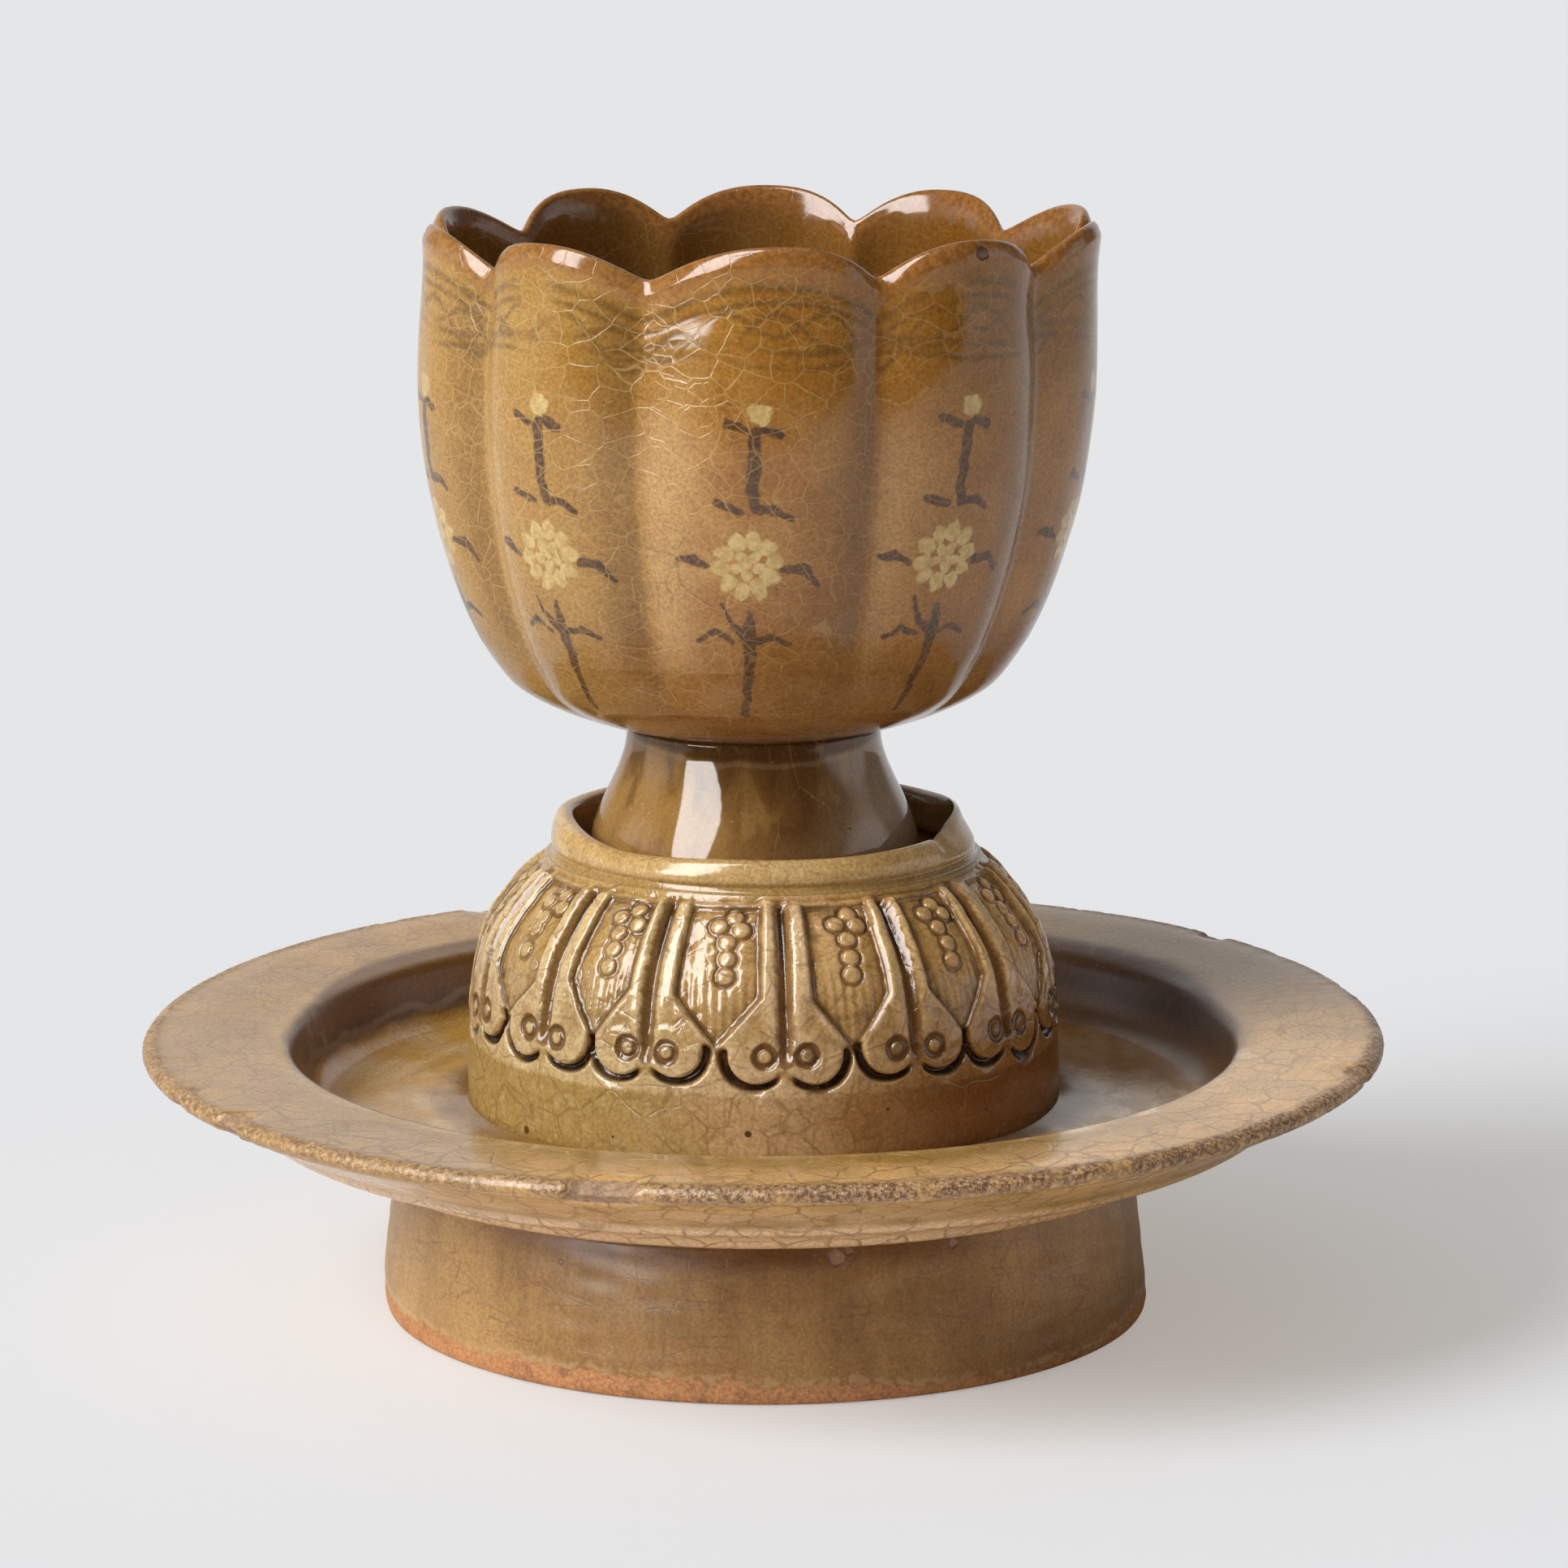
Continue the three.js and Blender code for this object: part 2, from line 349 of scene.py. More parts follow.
ring_foot_edge = ring_base - ring_wall
ring_rows = outline(
    (ring_foot_edge + 0.9, 0),
    (4, [(ring_base - 1.0, 0)]),
    (6, [(ring_base - 0.25, 0.25), (ring_base, 1.0)]),
    (60, [(44.4, 5.0), (43.9, 10.0), (43.2, 15.0), (42.7, ring_height - 0.7)]),
    (3, [(42.2, ring_height)]),
    (4, [(38.2, ring_height)]),
    (24, [(38.8, 10.0), (39.8, 2.5), (ring_foot_edge, 0.7)]),
    (3, [(ring_foot_edge + 0.9, 0)]),
)
angle, radius, height = sweep(ring_rows, full_turn(ring_columns))
free = ease(height, 0.2, 3.0)
uneven = 0.16 * wobble(1, angle, height, 5, 30) + 0.05 * wobble(2, angle, height, 24, 6)
radius = radius + free * uneven
radius = radius + ring_lean * (1 - height / ring_height) * np.sin(angle) * 0.5
foot_ring = skin("stand_foot_ring_glazed", angle, radius, height)

finish = Finish(bpy.data.materials.new("thin_olive_glaze_over_burnt_clay"))
place = finish.place()
x, y, z = finish.parts(place)
to_front_left = ((x * -0.62 + y * -0.78) / ring_base).ease(0.1, 0.95)
to_right = (x / ring_base).ease(0.75, 1.0)
bare_height = 0.7 + to_front_left * 2.0 + to_right * 1.8
bare_height = bare_height + finish.stray(place, 3.4, 9.0)
bare_height = bare_height + finish.stray(place, 2.2, 1.6, 4.0, 0.65)
bare = 1 - (z - bare_height).ease(-0.2, 0.3)
blots = finish.noise(finish.stretched(place, 1, 1, 0.35), 9.0, 4.0, 0.6).ease(0.36, 0.66)
colour = finish.mix(blots, ring_thin, ring_thick)
streaks = finish.noise(finish.stretched(place, 1, 1, 0.08), 2.4, 3.0, 0.6).ease(0.52, 0.72)
colour = finish.mix(streaks * 0.3, colour, ring_streak)
# Painted light and shade: the ring is painted lighter towards the left, where the lamp is, and browner and
# darker towards the right.
colour = finish.mix((0 - x).ease(20.0, 44.0) * 0.4, colour, ring_painted_light)
colour = finish.mix((x + blots * 12.0).ease(-44.0, 46.0) * 0.5, colour, ring_painted_shade)
# Painted shade: the top of the ring, under the dish, is tinted darker.
shaded_under_dish = z.ease(13.8, 16.6) * x.ease(-36.0, -16.0) * (1 - x.ease(14.0, 34.0))
colour = finish.tinted(shaded_under_dish, colour, ring_shadow_tint)
# Above the base the right side is made up to a third lighter.
colour = finish.lit(colour, z.ease(4.0, 9.0) * x.ease(20.0, 34.0) * 0.3 + 1)
turning = crackle(finish, finish.stretched(place, 0.3, 0.3, 1.5), 3.4, 0.12)
upright = crackle(finish, finish.stretched(place, 1, 1, 0.5), 4.2, 0.10, 3)
cracks = turning.most(upright) * finish.noise(place, 5.0).ease(0.42, 0.62)
colour = finish.mix(cracks * 0.42, colour, ring_crack)
pits = spots(finish, place, ring_pits)
colour = finish.mix(pits, colour, ring_pit)
burnt = finish.noise(place, 2.6, 4.0, 0.65).ease(0.5, 0.7) * 0.7
clay = grainy(finish, place, finish.mix(burnt, ring_clay, ring_burnt), 0.3)
edge = (z - bare_height).line(0.5, 0.15, 0.7) * finish.noise(place, 1.3).ease(0.4, 0.55)
colour = finish.mix(edge * 0.5, grainy(finish, place, colour, 0.22), ring_glaze_edge)
colour = finish.mix(bare, colour, clay)
rough = finish.noise(place, 4.0) * 0.25 + 0.26 + bare * 0.4
sandy = bare * finish.noise(place, 0.7, 4.0) * 0.12
relief = ripple(finish, place) - cracks * 0.012 - bare * 0.10 + sandy - pits * 0.2
foot_ring.data.materials.append(glaze(finish, colour, rough, relief))
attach(foot_ring, "stand")
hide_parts("stand_foot_ring")

# The dish is one wide thrown section: a shallow well inside a broad flat rim, with two ridges under it. It
# warped in the kiln, so its front hangs lower, and its thin lip is worn and chipped to the clay.
dish_low, dish_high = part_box("stand_dish")
dish_seam = dish_low.z / MM
dish_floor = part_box("stand_pedestal")[0].z / MM
rim_radius = dish_high.x / MM
rim_top = dish_high.z / MM
dish_columns = 560
dish_vent = 22.0
front_sag = 0.95
left_sag = 0.5
dish_chips = [  # angle in degrees, half width, depth
    (-13.4, 4.6, 1.0), (71.0, 2.0, 0.8), (-55.5, 2.6, 0.9),
    (-66.0, 1.6, 0.4), (128.0, 2.6, 0.5), (-150.0, 3.0, 0.6),
]
dish_tan = (0.60, 0.35, 0.125, 1)
dish_grey = (0.50, 0.305, 0.125, 1)
dish_amber = (0.40, 0.22, 0.038, 1)
dish_deep_pool_and_shade = (0.085, 0.030, 0.004, 1)
dish_brown = (0.18, 0.078, 0.014, 1)
dish_clay = (0.50, 0.31, 0.17, 1)
dish_old_clay = (0.30, 0.165, 0.085, 1)
dish_turned = (0.36, 0.20, 0.075, 1)
dish_underside_painted_light = (0.86, 0.57, 0.33, 1)
well_tan = (0.66, 0.44, 0.205, 1)
well_gold = (0.60, 0.33, 0.07, 1)
well_streak = (0.46, 0.26, 0.06, 1)
well_painted_reflection = (0.95, 0.72, 0.47, 1)
well_painted_dark_reflection = (0.60, 0.35, 0.15, 1)
well_back_painted_shade = (0.40, 0.19, 0.045, 1)
well_corner_pool_and_shade = (0.19, 0.088, 0.016, 1)
right_wall_low = (0.19, 0.095, 0.03, 1)
right_wall_painted_shade = (0.07, 0.026, 0.006, 1)
rim_edge_painted_shadow = (0.13, 0.055, 0.014, 1)
crust_tan = (0.40, 0.29, 0.19, 1)
dish_crack = (0.30, 0.155, 0.055, 1)
dish_pale_crack = (0.78, 0.56, 0.25, 1)
dish_incised = (0.26, 0.145, 0.035, 1)
dish_speck = (0.16, 0.08, 0.035, 1)
lip_left = (0.50, 0.295, 0.12, 1)
lip_right = (0.33, 0.18, 0.095, 1)
lip_grit = (0.13, 0.055, 0.024, 1)
lip_bare = (0.84, 0.64, 0.40, 1)

dish_rows = outline(
    (dish_vent, dish_seam),
    (5, [(42.2, dish_seam)]),
    (56, [(44.6, dish_seam + 0.35), (48.0, 19.0), (50.4, 19.9), (51.5, 20.9), (54.0, 22.2), (57.6, 23.2),
          (59.8, 24.2), (61.0, 25.4), (64.0, 27.1), (67.6, 29.0), (70.4, 30.5)]),
    (12, [(71.5, 30.95), (rim_radius, 31.75), (71.7, 32.5), (70.8, rim_top)]),
    (50, [(67.0, 32.8), (62.0, 32.4), (58.0, 32.0), (56.0, 31.8)]),
    (6, [(55.3, 31.55), (54.8, 30.9)]),
    (20, [(53.7, 28.3), (52.6, 25.9), (51.2, 24.7), (49.0, dish_floor + 0.1)]),
    (30, [(42.0, dish_floor), (37.4, dish_floor), (35.4, dish_floor + 0.25), (34.0, dish_floor + 0.8)]),
    (5, [(31.0, dish_floor), (dish_vent, dish_floor)]),
    (3, [(dish_vent, dish_seam)]),
)
angle, radius, height = sweep(dish_rows, full_turn(dish_columns))
outward = ease(radius, 44, rim_radius)
lip = ease(radius, 69.4, 71.5)
nibble = ease(wobble(5, angle, height, 270, 4) + 0.5 * wobble(6, angle, height, 90, 6), 0.0, 1.6)
bite = 0.16 * nibble
chipped = np.zeros_like(angle)
for seed, (degrees, width, depth) in enumerate(dish_chips, 90):
    away = np.abs((angle - math.radians(degrees) + np.pi) % (2 * np.pi) - np.pi) * rim_radius
    chip = ease(1 - away / width + 0.22 * wobble(seed, angle, height, 300, 5), 0.0, 0.45)
    bite = bite + depth * chip
    chipped = np.maximum(chipped, chip)
upper_lip = ease(radius, 67.6, 71.2) * ease(height, 31.0, 32.6)
height = height - bite * upper_lip * 0.7
radius = radius - bite * lip + 0.3 * outward * wobble(7, angle, height, 7, 200)
warp = left_sag * np.sin(angle) - front_sag * np.cos(angle) + 0.22 * wobble(8, angle, 0, 5, 9)
height = height + outward * warp
chipped = chipped * np.maximum(lip, upper_lip)
worn = ease(radius, 69.3, 71.0) * ease(height, 29.5, 31.0)
dish = skin("stand_dish_glazed", angle, radius, height, marks={"worn": worn, "chipped": chipped})

finish = Finish(bpy.data.materials.new("tan_olive_glaze_on_the_dish"))
place = finish.place()
x, y, z = finish.parts(place)
out = finish.from_axis(place)
blots = finish.noise(place, 11.0, 4.0, 0.6)
colour = finish.mix(blots.ease(0.35, 0.65), dish_tan, dish_grey)
# A painted sheen makes the dish lighter towards the front right, and a painted shadow, where the cup's
# shadow falls, makes it darker towards the back right.
sheen_front_right = (x * 0.7 - y * 0.7).ease(0.0, 50.0)
shadow_back_right = (x * 0.6 + y * 0.8).ease(26.0, 66.0)
colour = finish.lit(colour, sheen_front_right * 0.45 - shadow_back_right * 0.46 + 1)
round_axis = finish.node("CombineXYZ", {}, {0: out, 1: z, 2: x * 0.04})
turning = finish.noise(round_axis, 1.4, 3.0, 0.6).ease(0.45, 0.7)
turning = turning * finish.noise(place, 16.0).ease(0.4, 0.6)
colour = finish.mix(turning * 0.35, colour, dish_turned)
underneath = 1 - z.ease(26.5, 29.5)
# Painted light: the underside is painted lighter than the rim, palest on the left towards the lamp.
colour = finish.mix(underneath * 0.8, colour, finish.mix(x.ease(12.0, 44.0), dish_underside_painted_light, dish_tan))
on_rim = (out + finish.stray(place, 5.0, 8.0)).ease(55.0, 58.5)
above = z.ease(24.0, 25.0)
in_well = (1 - on_rim) * z.ease(dish_floor - 0.9, dish_floor - 0.3)
to_front = (0 - y).ease(20.0, 52.0)
pooled = (out + finish.stray(place, 9.0, 6.0)).ease(66.0, 59.0) * to_front * above
amber_bands = finish.noise(finish.stretched(place, 1, 1, 2.0), 14.0, 3.0).ease(0.5, 0.65)
colour = finish.mix((amber_bands * 0.3 * above).most(pooled * 0.85), colour, dish_amber)
well = finish.mix(finish.noise(place, 9.0, 3.0).ease(0.38, 0.6), well_tan, well_gold)
round_well = finish.node("CombineXYZ", {}, {0: out, 1: x * 0.12, 2: y * 0.12})
thrown = finish.noise(round_well, 2.8, 3.0, 0.6).ease(0.42, 0.66)
well = finish.mix(thrown * 0.6, well, well_streak)
# Painted reflections: towards the right the well floor is swirled with pale and brown streaks that stand in
# for what it mirrors, and towards the back right it is painted darker, a painted reflection of the shaded
# wall.
swirl = finish.noise(finish.stirred(finish.stretched(place, 1, 0.5, 1), 9.0, 5.0), 5.0, 3.0)
swirled_reflections = finish.mix(swirl.ease(0.42, 0.58), well_painted_reflection, well_painted_dark_reflection)
well = finish.mix(x.ease(4.0, 30.0), well, swirled_reflections)
well = finish.mix((x * 0.5 + y + swirl * 12.0).ease(24.0, 44.0) * 0.75, well, well_back_painted_shade)
colour = finish.mix(in_well, colour, well)
# The well's wall is dark brown with pooled glaze; painted shade makes it darker still at its foot on the
# left and high on the right.
wall_height = z + finish.stray(place, 1.2, 4.0) + x.ease(-10.0, 30.0) * 1.6
wall_out = out - y.ease(8.0, 40.0) * 4.0 + finish.stray(place, 1.2, 5.0)
wall = wall_height.ease(25.2, 27.0) * (1 - wall_out.ease(54.7, 56.6)) * out.ease(44.0, 48.0) * above
upper_wall = (wall_height - x.ease(-10.0, 30.0) * 1.2).ease(26.6, 29.4)
left_wall = finish.mix(upper_wall, dish_deep_pool_and_shade, dish_brown)
right_wall = finish.mix(upper_wall, right_wall_low, right_wall_painted_shade)
colour = finish.mix(wall * 0.95, colour, finish.mix(x.ease(0.0, 26.0), left_wall, right_wall))
# Painted shadow: the inner edge of the rim at the back right, where the cup's shadow falls, is painted dark
# brown.
back_edge_shadow = (1 - (out + finish.stray(place, 4.0, 6.0)).ease(56.0, 62.0)) * above
back_edge_shadow = back_edge_shadow * y.ease(14.0, 36.0) * x.ease(0.0, 20.0) * z.ease(30.0, 31.5)
colour = finish.mix(back_edge_shadow * 0.85, colour, rim_edge_painted_shadow)
# Round the foot of the pedestal the well floor is darker: pooled glaze and painted shade.
corner = (1 - (out + finish.stray(place, 7.0, 5.0)).ease(35.4, 41.0)) * in_well
colour = finish.mix(corner * 0.85, colour, well_corner_pool_and_shade)
ragged = z + finish.stray(place, 4.0, 9.0, 2.0)
crust = ragged.line(27.2, 0.2, 0.8) * (x - y * 0.5).ease(-34.0, -42.0) * wall
crumbs = finish.noise(place, 2.2, 4.0, 0.6).ease(0.46, 0.6) * (x + y * 0.55).ease(-40.0, -46.0) * wall
colour = finish.mix(crust.most(crumbs) * 0.4, colour, crust_tan)
plates = crackle(finish, place, 4.6, 0.26)
fine = crackle(finish, place, 2.6, 0.2, 2) * finish.noise(place, 8.0).ease(0.44, 0.6)
cracks = plates.most(fine * 0.7) * finish.noise(place, 3.0).ease(0.28, 0.48)
pale = finish.noise(place, 6.0).ease(0.45, 0.6) * pooled
cracks = cracks * (0.42 - in_well * 0.28 + to_front * 0.2)
colour = finish.mix(cracks, colour, finish.mix(pale, dish_crack, dish_pale_crack))
turn = x.maths("ARCTAN2", x, y)
scroll = out + (turn * 17.0 + finish.stray(place, 3.0, 9.0)).sine() * 1.5
lines = 1 - abs((scroll * 3.4).sine()).ease(0.0, 0.4)
incised = lines * out.ease(57.5, 58.5) * (1 - out.ease(66.5, 67.5)) * above
incised = incised * finish.noise(place, 10.0).ease(0.42, 0.6)
colour = finish.mix(incised * 0.32, colour, dish_incised)
specks = finish.noise(place, 1.1, 2.0, 0.4).ease(0.74, 0.80)
colour = finish.mix(specks * 0.5, grainy(finish, place, colour), dish_speck)
to_right = (x - y * 0.4).ease(-20.0, 45.0)
worn = finish.mark("worn") * (finish.noise(place, 5.0, 3.0).ease(0.3, 0.5) * 0.6 + 0.4)
grit = finish.noise(place, 0.55, 3.0, 0.8)
colour = finish.mix(worn * 0.6, colour, finish.mix(to_right, lip_left, lip_right))
colour = finish.mix(worn * grit.ease(0.46, 0.58) * (to_right * 0.25 + 0.65), colour, lip_grit)
colour = finish.mix(worn * (1 - grit.ease(0.32, 0.44)) * 0.7, colour, lip_bare)
chipped = (finish.mark("chipped") + finish.stray(place, 0.5, 0.9, 4.0, 0.6)).ease(0.3, 0.5)
raw = finish.mix(finish.noise(place, 0.9, 4.0, 0.7).ease(0.42, 0.62), dish_clay, dish_old_clay)
colour = finish.mix(chipped * 0.9, colour, raw)
rough = finish.noise(place, 6.0) * 0.10 + 0.11 + worn * 0.22 + chipped * 0.4
rough = rough + (wall * 0.15).most(back_edge_shadow * 0.4)
relief = ripple(finish, place) - cracks * 0.03 - incised * 0.02 + (worn * 0.12 + chipped * 0.12) * grit
dish.data.materials.append(glaze(finish, colour, rough, relief))
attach(dish, "stand")
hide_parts("stand_dish")

# The pedestal is a hollow thrown dome, luted into the well, with fourteen lotus petals carved round it.
# Each petal has a sunk shield with combing and six beads, and ends in two round lobes undercut with a
# gouge. The glaze is pale on the ridges and brown where it pooled in the cuts.
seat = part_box("stand_pedestal")[1].z / MM
band_height = 9.0
shoulder = dish_floor + band_height
pedestal_radius = 34.4
pedestal_top = 25.5
shoulder_angle = 1.2
pedestal_columns = 756
petal_step = 0.225
roof = 4.0
softening = 45
petal_count = 14
petal_turn = -8.7
groove_drift = [0.3, 0.6, -1.1, -0.8, 0.5, -0.7, 0.9, -0.4, 0.6, -0.9, 0.2, 0.8, 0.8, -0.9]
shield_share = 0.6
shield_tip = 4.6
shield_corner = 10.4
shield_end = 21.8
beads = [(1.25, 20.7), (-0.6, 19.2), (2.2, 18.8), (0.4, 17.2), (0.6, 15.1), (0.45, 12.8)]
lobe_radius = 3.35
lobe_height = 4.15
stamp_height = 3.9
stamp_share = 0.69
comb_pitch = 1.12
pedestal_flecks = [
    (-2.6, 34.4, 28.4, 0.42), (24.0, 34.4, 30.5, 0.2), (-51.0, 34.4, 25.6, 0.5),
    (-29.0, 34.4, 27.0, 0.2), (47.0, 34.4, 28.5, 0.25), (140.0, 34.4, 29.0, 0.4),
]
petal_ridge = (0.70, 0.485, 0.26, 1)
petal_tan = (0.54, 0.33, 0.135, 1)
petal_olive = (0.43, 0.25, 0.08, 1)
petal_pool = (0.24, 0.12, 0.042, 1)
petal_shade = (0.035, 0.014, 0.006, 1)
band_amber = (0.45, 0.28, 0.095, 1)
band_tan = (0.54, 0.325, 0.15, 1)
band_painted_shade = (0.42, 0.20, 0.07, 1)
band_foot = (0.30, 0.16, 0.03, 1)
petal_soft = (0.46, 0.275, 0.105, 1)
petal_line = (0.16, 0.075, 0.024, 1)
petal_crack = (0.22, 0.10, 0.032, 1)
petal_fleck = (0.09, 0.045, 0.02, 1)
shade_tint = (0.56, 0.42, 0.26)
right_painted_shade_tint = (0.94, 0.88, 0.74)
left_painted_shade_tint = (0.9, 0.93, 0.86)

rise = np.linspace(shoulder, seat, 3000)
share = np.arcsin((rise - shoulder) / (seat - shoulder) * math.sin(shoulder_angle))
share = (np.cos(share) - math.cos(shoulder_angle)) / (1 - math.cos(shoulder_angle))
dome = np.column_stack([pedestal_top + (pedestal_radius - pedestal_top) * share, rise])
up_dome = np.concatenate([[0], np.cumsum(np.hypot(*np.diff(dome, axis=0).T))])
even = np.arange(0, up_dome[-1], petal_step)
dome_rows = np.column_stack([np.interp(even, up_dome, dome[:, k]) for k in (0, 1)])
inside_rows = [
    (0, seat - roof), (12.0, seat - roof), (21.2, seat - roof - 0.4),
    (26.5, 43.0), (29.6, shoulder), (29.7, dish_floor),
]
band_rows = outline((pedestal_radius + 0.1, dish_floor), (9, [(pedestal_radius, shoulder)]))
seat_rows = [(pedestal_top - 0.2, seat), (12.0, seat), (0, seat)]
pedestal_rows = np.vstack([inside_rows, band_rows, dome_rows, seat_rows])
first_row = len(inside_rows) + len(band_rows)
last_row = first_row + len(dome_rows)
angle, radius, height = sweep(pedestal_rows, full_turn(pedestal_columns))

pitch = 360 / petal_count
grooves = np.radians([petal_turn + (k + 0.5) * pitch + drift for k, drift in enumerate(groove_drift)])
grooves = np.sort((grooves + np.pi) % (2 * np.pi) - np.pi)
limits = np.concatenate([grooves[-1:] - 2 * np.pi, grooves, grooves[:1] + 2 * np.pi])
petal = np.searchsorted(limits, angle) - 1
half_turn = (limits[petal + 1] - limits[petal]) / 2
across = angle - limits[petal] - half_turn
petal = petal % petal_count
carved = slice(first_row, last_row)
half = (half_turn * radius)[carved]
along = (across * radius)[carved]
up = np.broadcast_to(even[:, None], along.shape)
hand = np.random.default_rng(14)


def each_petal(spread):
    """A number for every petal, spread about zero by hand."""
    return hand.normal(0, spread, petal_count)[petal[carved]]


def petal_relief(along, up, half):
    """How far the carved skin stands out, at a distance along the petal's width and up the dome. With it
    come marks: how far each point is inside the shield, from a bead's middle, outside a lobe, from a stamp's
    middle and from the groove, all in millimetres, and how deep in the gouge, from 0 to 1."""
    side = along - each_petal(0.22) - 0.03 * up * each_petal(0.35)
    shield_half = half * (shield_share + each_petal(0.02))
    tip = shield_tip + each_petal(0.35)
    corner = shield_corner + each_petal(0.5)
    slope = shield_half / (corner - tip)
    to_side = shield_half - np.abs(side)
    to_point = ((up - tip) * slope - np.abs(side)) / np.sqrt(1 + slope**2)
    inside = np.minimum(np.minimum(to_side, to_point), shield_end - up)
    relief = -0.46 * ease(inside, -0.42, 0.5) * (1 - 0.45 * ease(inside, 0.4, 2.6))
    relief += 0.14 * np.exp(-(((inside + 0.55) / 0.35) ** 2)) * ease(up, 5.5, 7.0)
    nearest = np.full(along.shape, 9.0)
    for bead_side, bead_up in beads:
        reach = np.hypot(side - bead_side - each_petal(0.12), up - bead_up - each_petal(0.12))
        nearest = np.minimum(nearest, reach)
        relief += 0.24 * np.sqrt(np.clip(1 - (reach / 1.1) ** 2, 0, 1))
    relief -= 0.17 * np.exp(-(((nearest - 1.2) / 0.28) ** 2))
    combing = 0.07 * np.cos(2 * np.pi * (side + 0.02 * up) / comb_pitch + each_petal(1.0))
    combed = ease(inside, 0.2, 0.6) * ease(nearest, 1.2, 1.7)
    relief += combing * combed * (1 - 0.8 * ease(up, 11.0, 15.0))
    flank = np.clip((np.abs(along) - shield_half) / (half - shield_half), 0, 1)
    relief += 0.26 * np.sin(np.pi * flank) * ease(up, 6.0, 11.0)
    to_groove = half - np.abs(along)
    groove = np.exp(-((to_groove / 0.7) ** 2)) * ease(up, 2.4, 4.4) * (1 - ease(up, 21.9, 22.4))
    relief -= 0.92 * groove
    relief -= 0.35 * ease(up, 21.9, 22.3) + 0.45 * ease(up, 12, 18)
    outside = np.full(along.shape, 4.9) - up
    nearest_lobe = np.full(along.shape, 9.0)
    nearest_stamp = nearest_lobe
    gouge = np.zeros(along.shape)
    for way in (-1, 1):
        lobe_side = along - way * (half - lobe_radius)
        lobe_up = up - lobe_height - each_petal(0.3)
        edge = np.hypot(lobe_side, lobe_up) - lobe_radius
        round_edge = np.arctan2(-way * lobe_side, -lobe_up)
        width = 0.6 + 0.5 * ease(round_edge, -0.4, 0.8)
        reach = ease(round_edge, -1.1, -0.35) * (1 - ease(round_edge, 1.55, 1.9))
        slope_out = 1 - np.clip((edge - 0.06) / width, 0, 1) ** 1.4
        relief -= 1.1 * reach * ease(edge, -0.28, 0.12) * slope_out
        gouge = np.maximum(gouge, reach * (1 - np.clip((edge - 0.3) / width, 0, 1)))
        outside = np.minimum(outside, edge)
        nearest_lobe = np.minimum(nearest_lobe, edge)
        stamp_side = along - way * stamp_share * half - each_petal(0.15)
        stamp = np.hypot(stamp_side, up - stamp_height - each_petal(0.2))
        nearest_stamp = np.minimum(nearest_stamp, stamp)
        relief -= (0.26 + np.abs(each_petal(0.08))) * np.exp(-(((stamp - 1.06) / 0.3) ** 2))
    relief -= 0.16 * ease(outside, 0.0, 0.7)
    to_groove = to_groove + 3 * (1 - ease(up, 1.6, 3.0))
    return relief, {
        "shield": inside, "bead": nearest, "lobe": nearest_lobe, "gouge": gouge,
        "stamp": nearest_stamp, "groove": to_groove,
    }


relief, fields = petal_relief(along, up, half)
relief = relief + 0.035 * wobble(15, angle[carved], up, 60, 4)
relief = relief + 0.012 * wobble(17, angle[carved], up, 150, 1.6)
soft = relief
for _ in range(softening):
    beside = np.roll(soft, 1, 1) + np.roll(soft, -1, 1)
    soft = (soft + beside + np.roll(soft, 1, 0) + np.roll(soft, -1, 0)) / 5
off_petals = {
    "cut": 0.0, "crest": 0.0, "shield": -9.0, "bead": 9.0,
    "lobe": 9.0, "gouge": 0.0, "stamp": 9.0, "groove": 9.0,
}
marks = {mark: np.full(radius.shape, away) for mark, away in off_petals.items()}
for mark, values in {"cut": -relief, "crest": relief - soft, **fields}.items():
    marks[mark][carved] = values
lean_out = np.gradient(height[carved], axis=0)
lean_up = -np.gradient(radius[carved], axis=0)
length = np.hypot(lean_out, lean_up)
radius[carved] += relief * lean_out / length
height[carved] += relief * lean_up / length
band = slice(len(inside_rows), first_row)
radius[band] -= 0.16 * ease(height[band], dish_floor + 5, shoulder)
radius[band] += 0.06 * wobble(16, angle[band], height[band], 12, 8)
pedestal = skin("stand_pedestal_carved", angle, radius, height, poles=True, marks=marks)

finish = Finish(bpy.data.materials.new("tan_olive_glaze_on_the_petals"))
place = finish.place()
x, _, z = finish.parts(place)
cut, crest, shield, bead, lobe, gouge, stamp, groove = (finish.mark(mark) for mark in marks)
petals = (z + finish.stray(place, 1.5, 3.0)).ease(34.0, 36.5)
uneven = finish.noise(place, 1.2, 4.0, 0.65) - 0.5
colour = finish.mix(finish.noise(place, 8.0, 4.0, 0.6).ease(0.35, 0.65), petal_tan, petal_soft)
aside = x + finish.stray(place, 30.0, 9.0)
# Painted shade: the band is painted brown towards the right.
shaded_right_band = finish.mix(aside.ease(8.0, 24.0), band_tan, band_painted_shade)
plain_band = finish.mix(aside.ease(-16.0, 2.0), band_amber, shaded_right_band)
foot = (1 - (z + uneven * 2.0).ease(dish_floor + 0.4, dish_floor + 2.4)) * 0.6
colour = finish.mix(petals, finish.mix(foot, plain_band, band_foot), colour)
crest = crest + uneven * 0.45
colour = finish.mix(crest.ease(-0.02, 0.2) * (0.85 - shield.ease(0.3, 0.8) * 0.45), colour, petal_ridge)
colour = finish.mix((0 - crest).ease(0.0, 0.2) * 0.7, colour, petal_olive)
pool = (0 - crest).ease(0.10, 0.40).most((groove + uneven * 1.4).ease(1.35, 0.6))
colour = finish.mix(pool * 0.9, colour, petal_pool)
shaky = uneven * 0.4
thick = finish.noise(place, 4.0, 2.0).ease(0.3, 0.62)
shield_line = (shield + shaky).line(0.12, 0.2, 0.62) * (thick * 0.6 + 0.4)
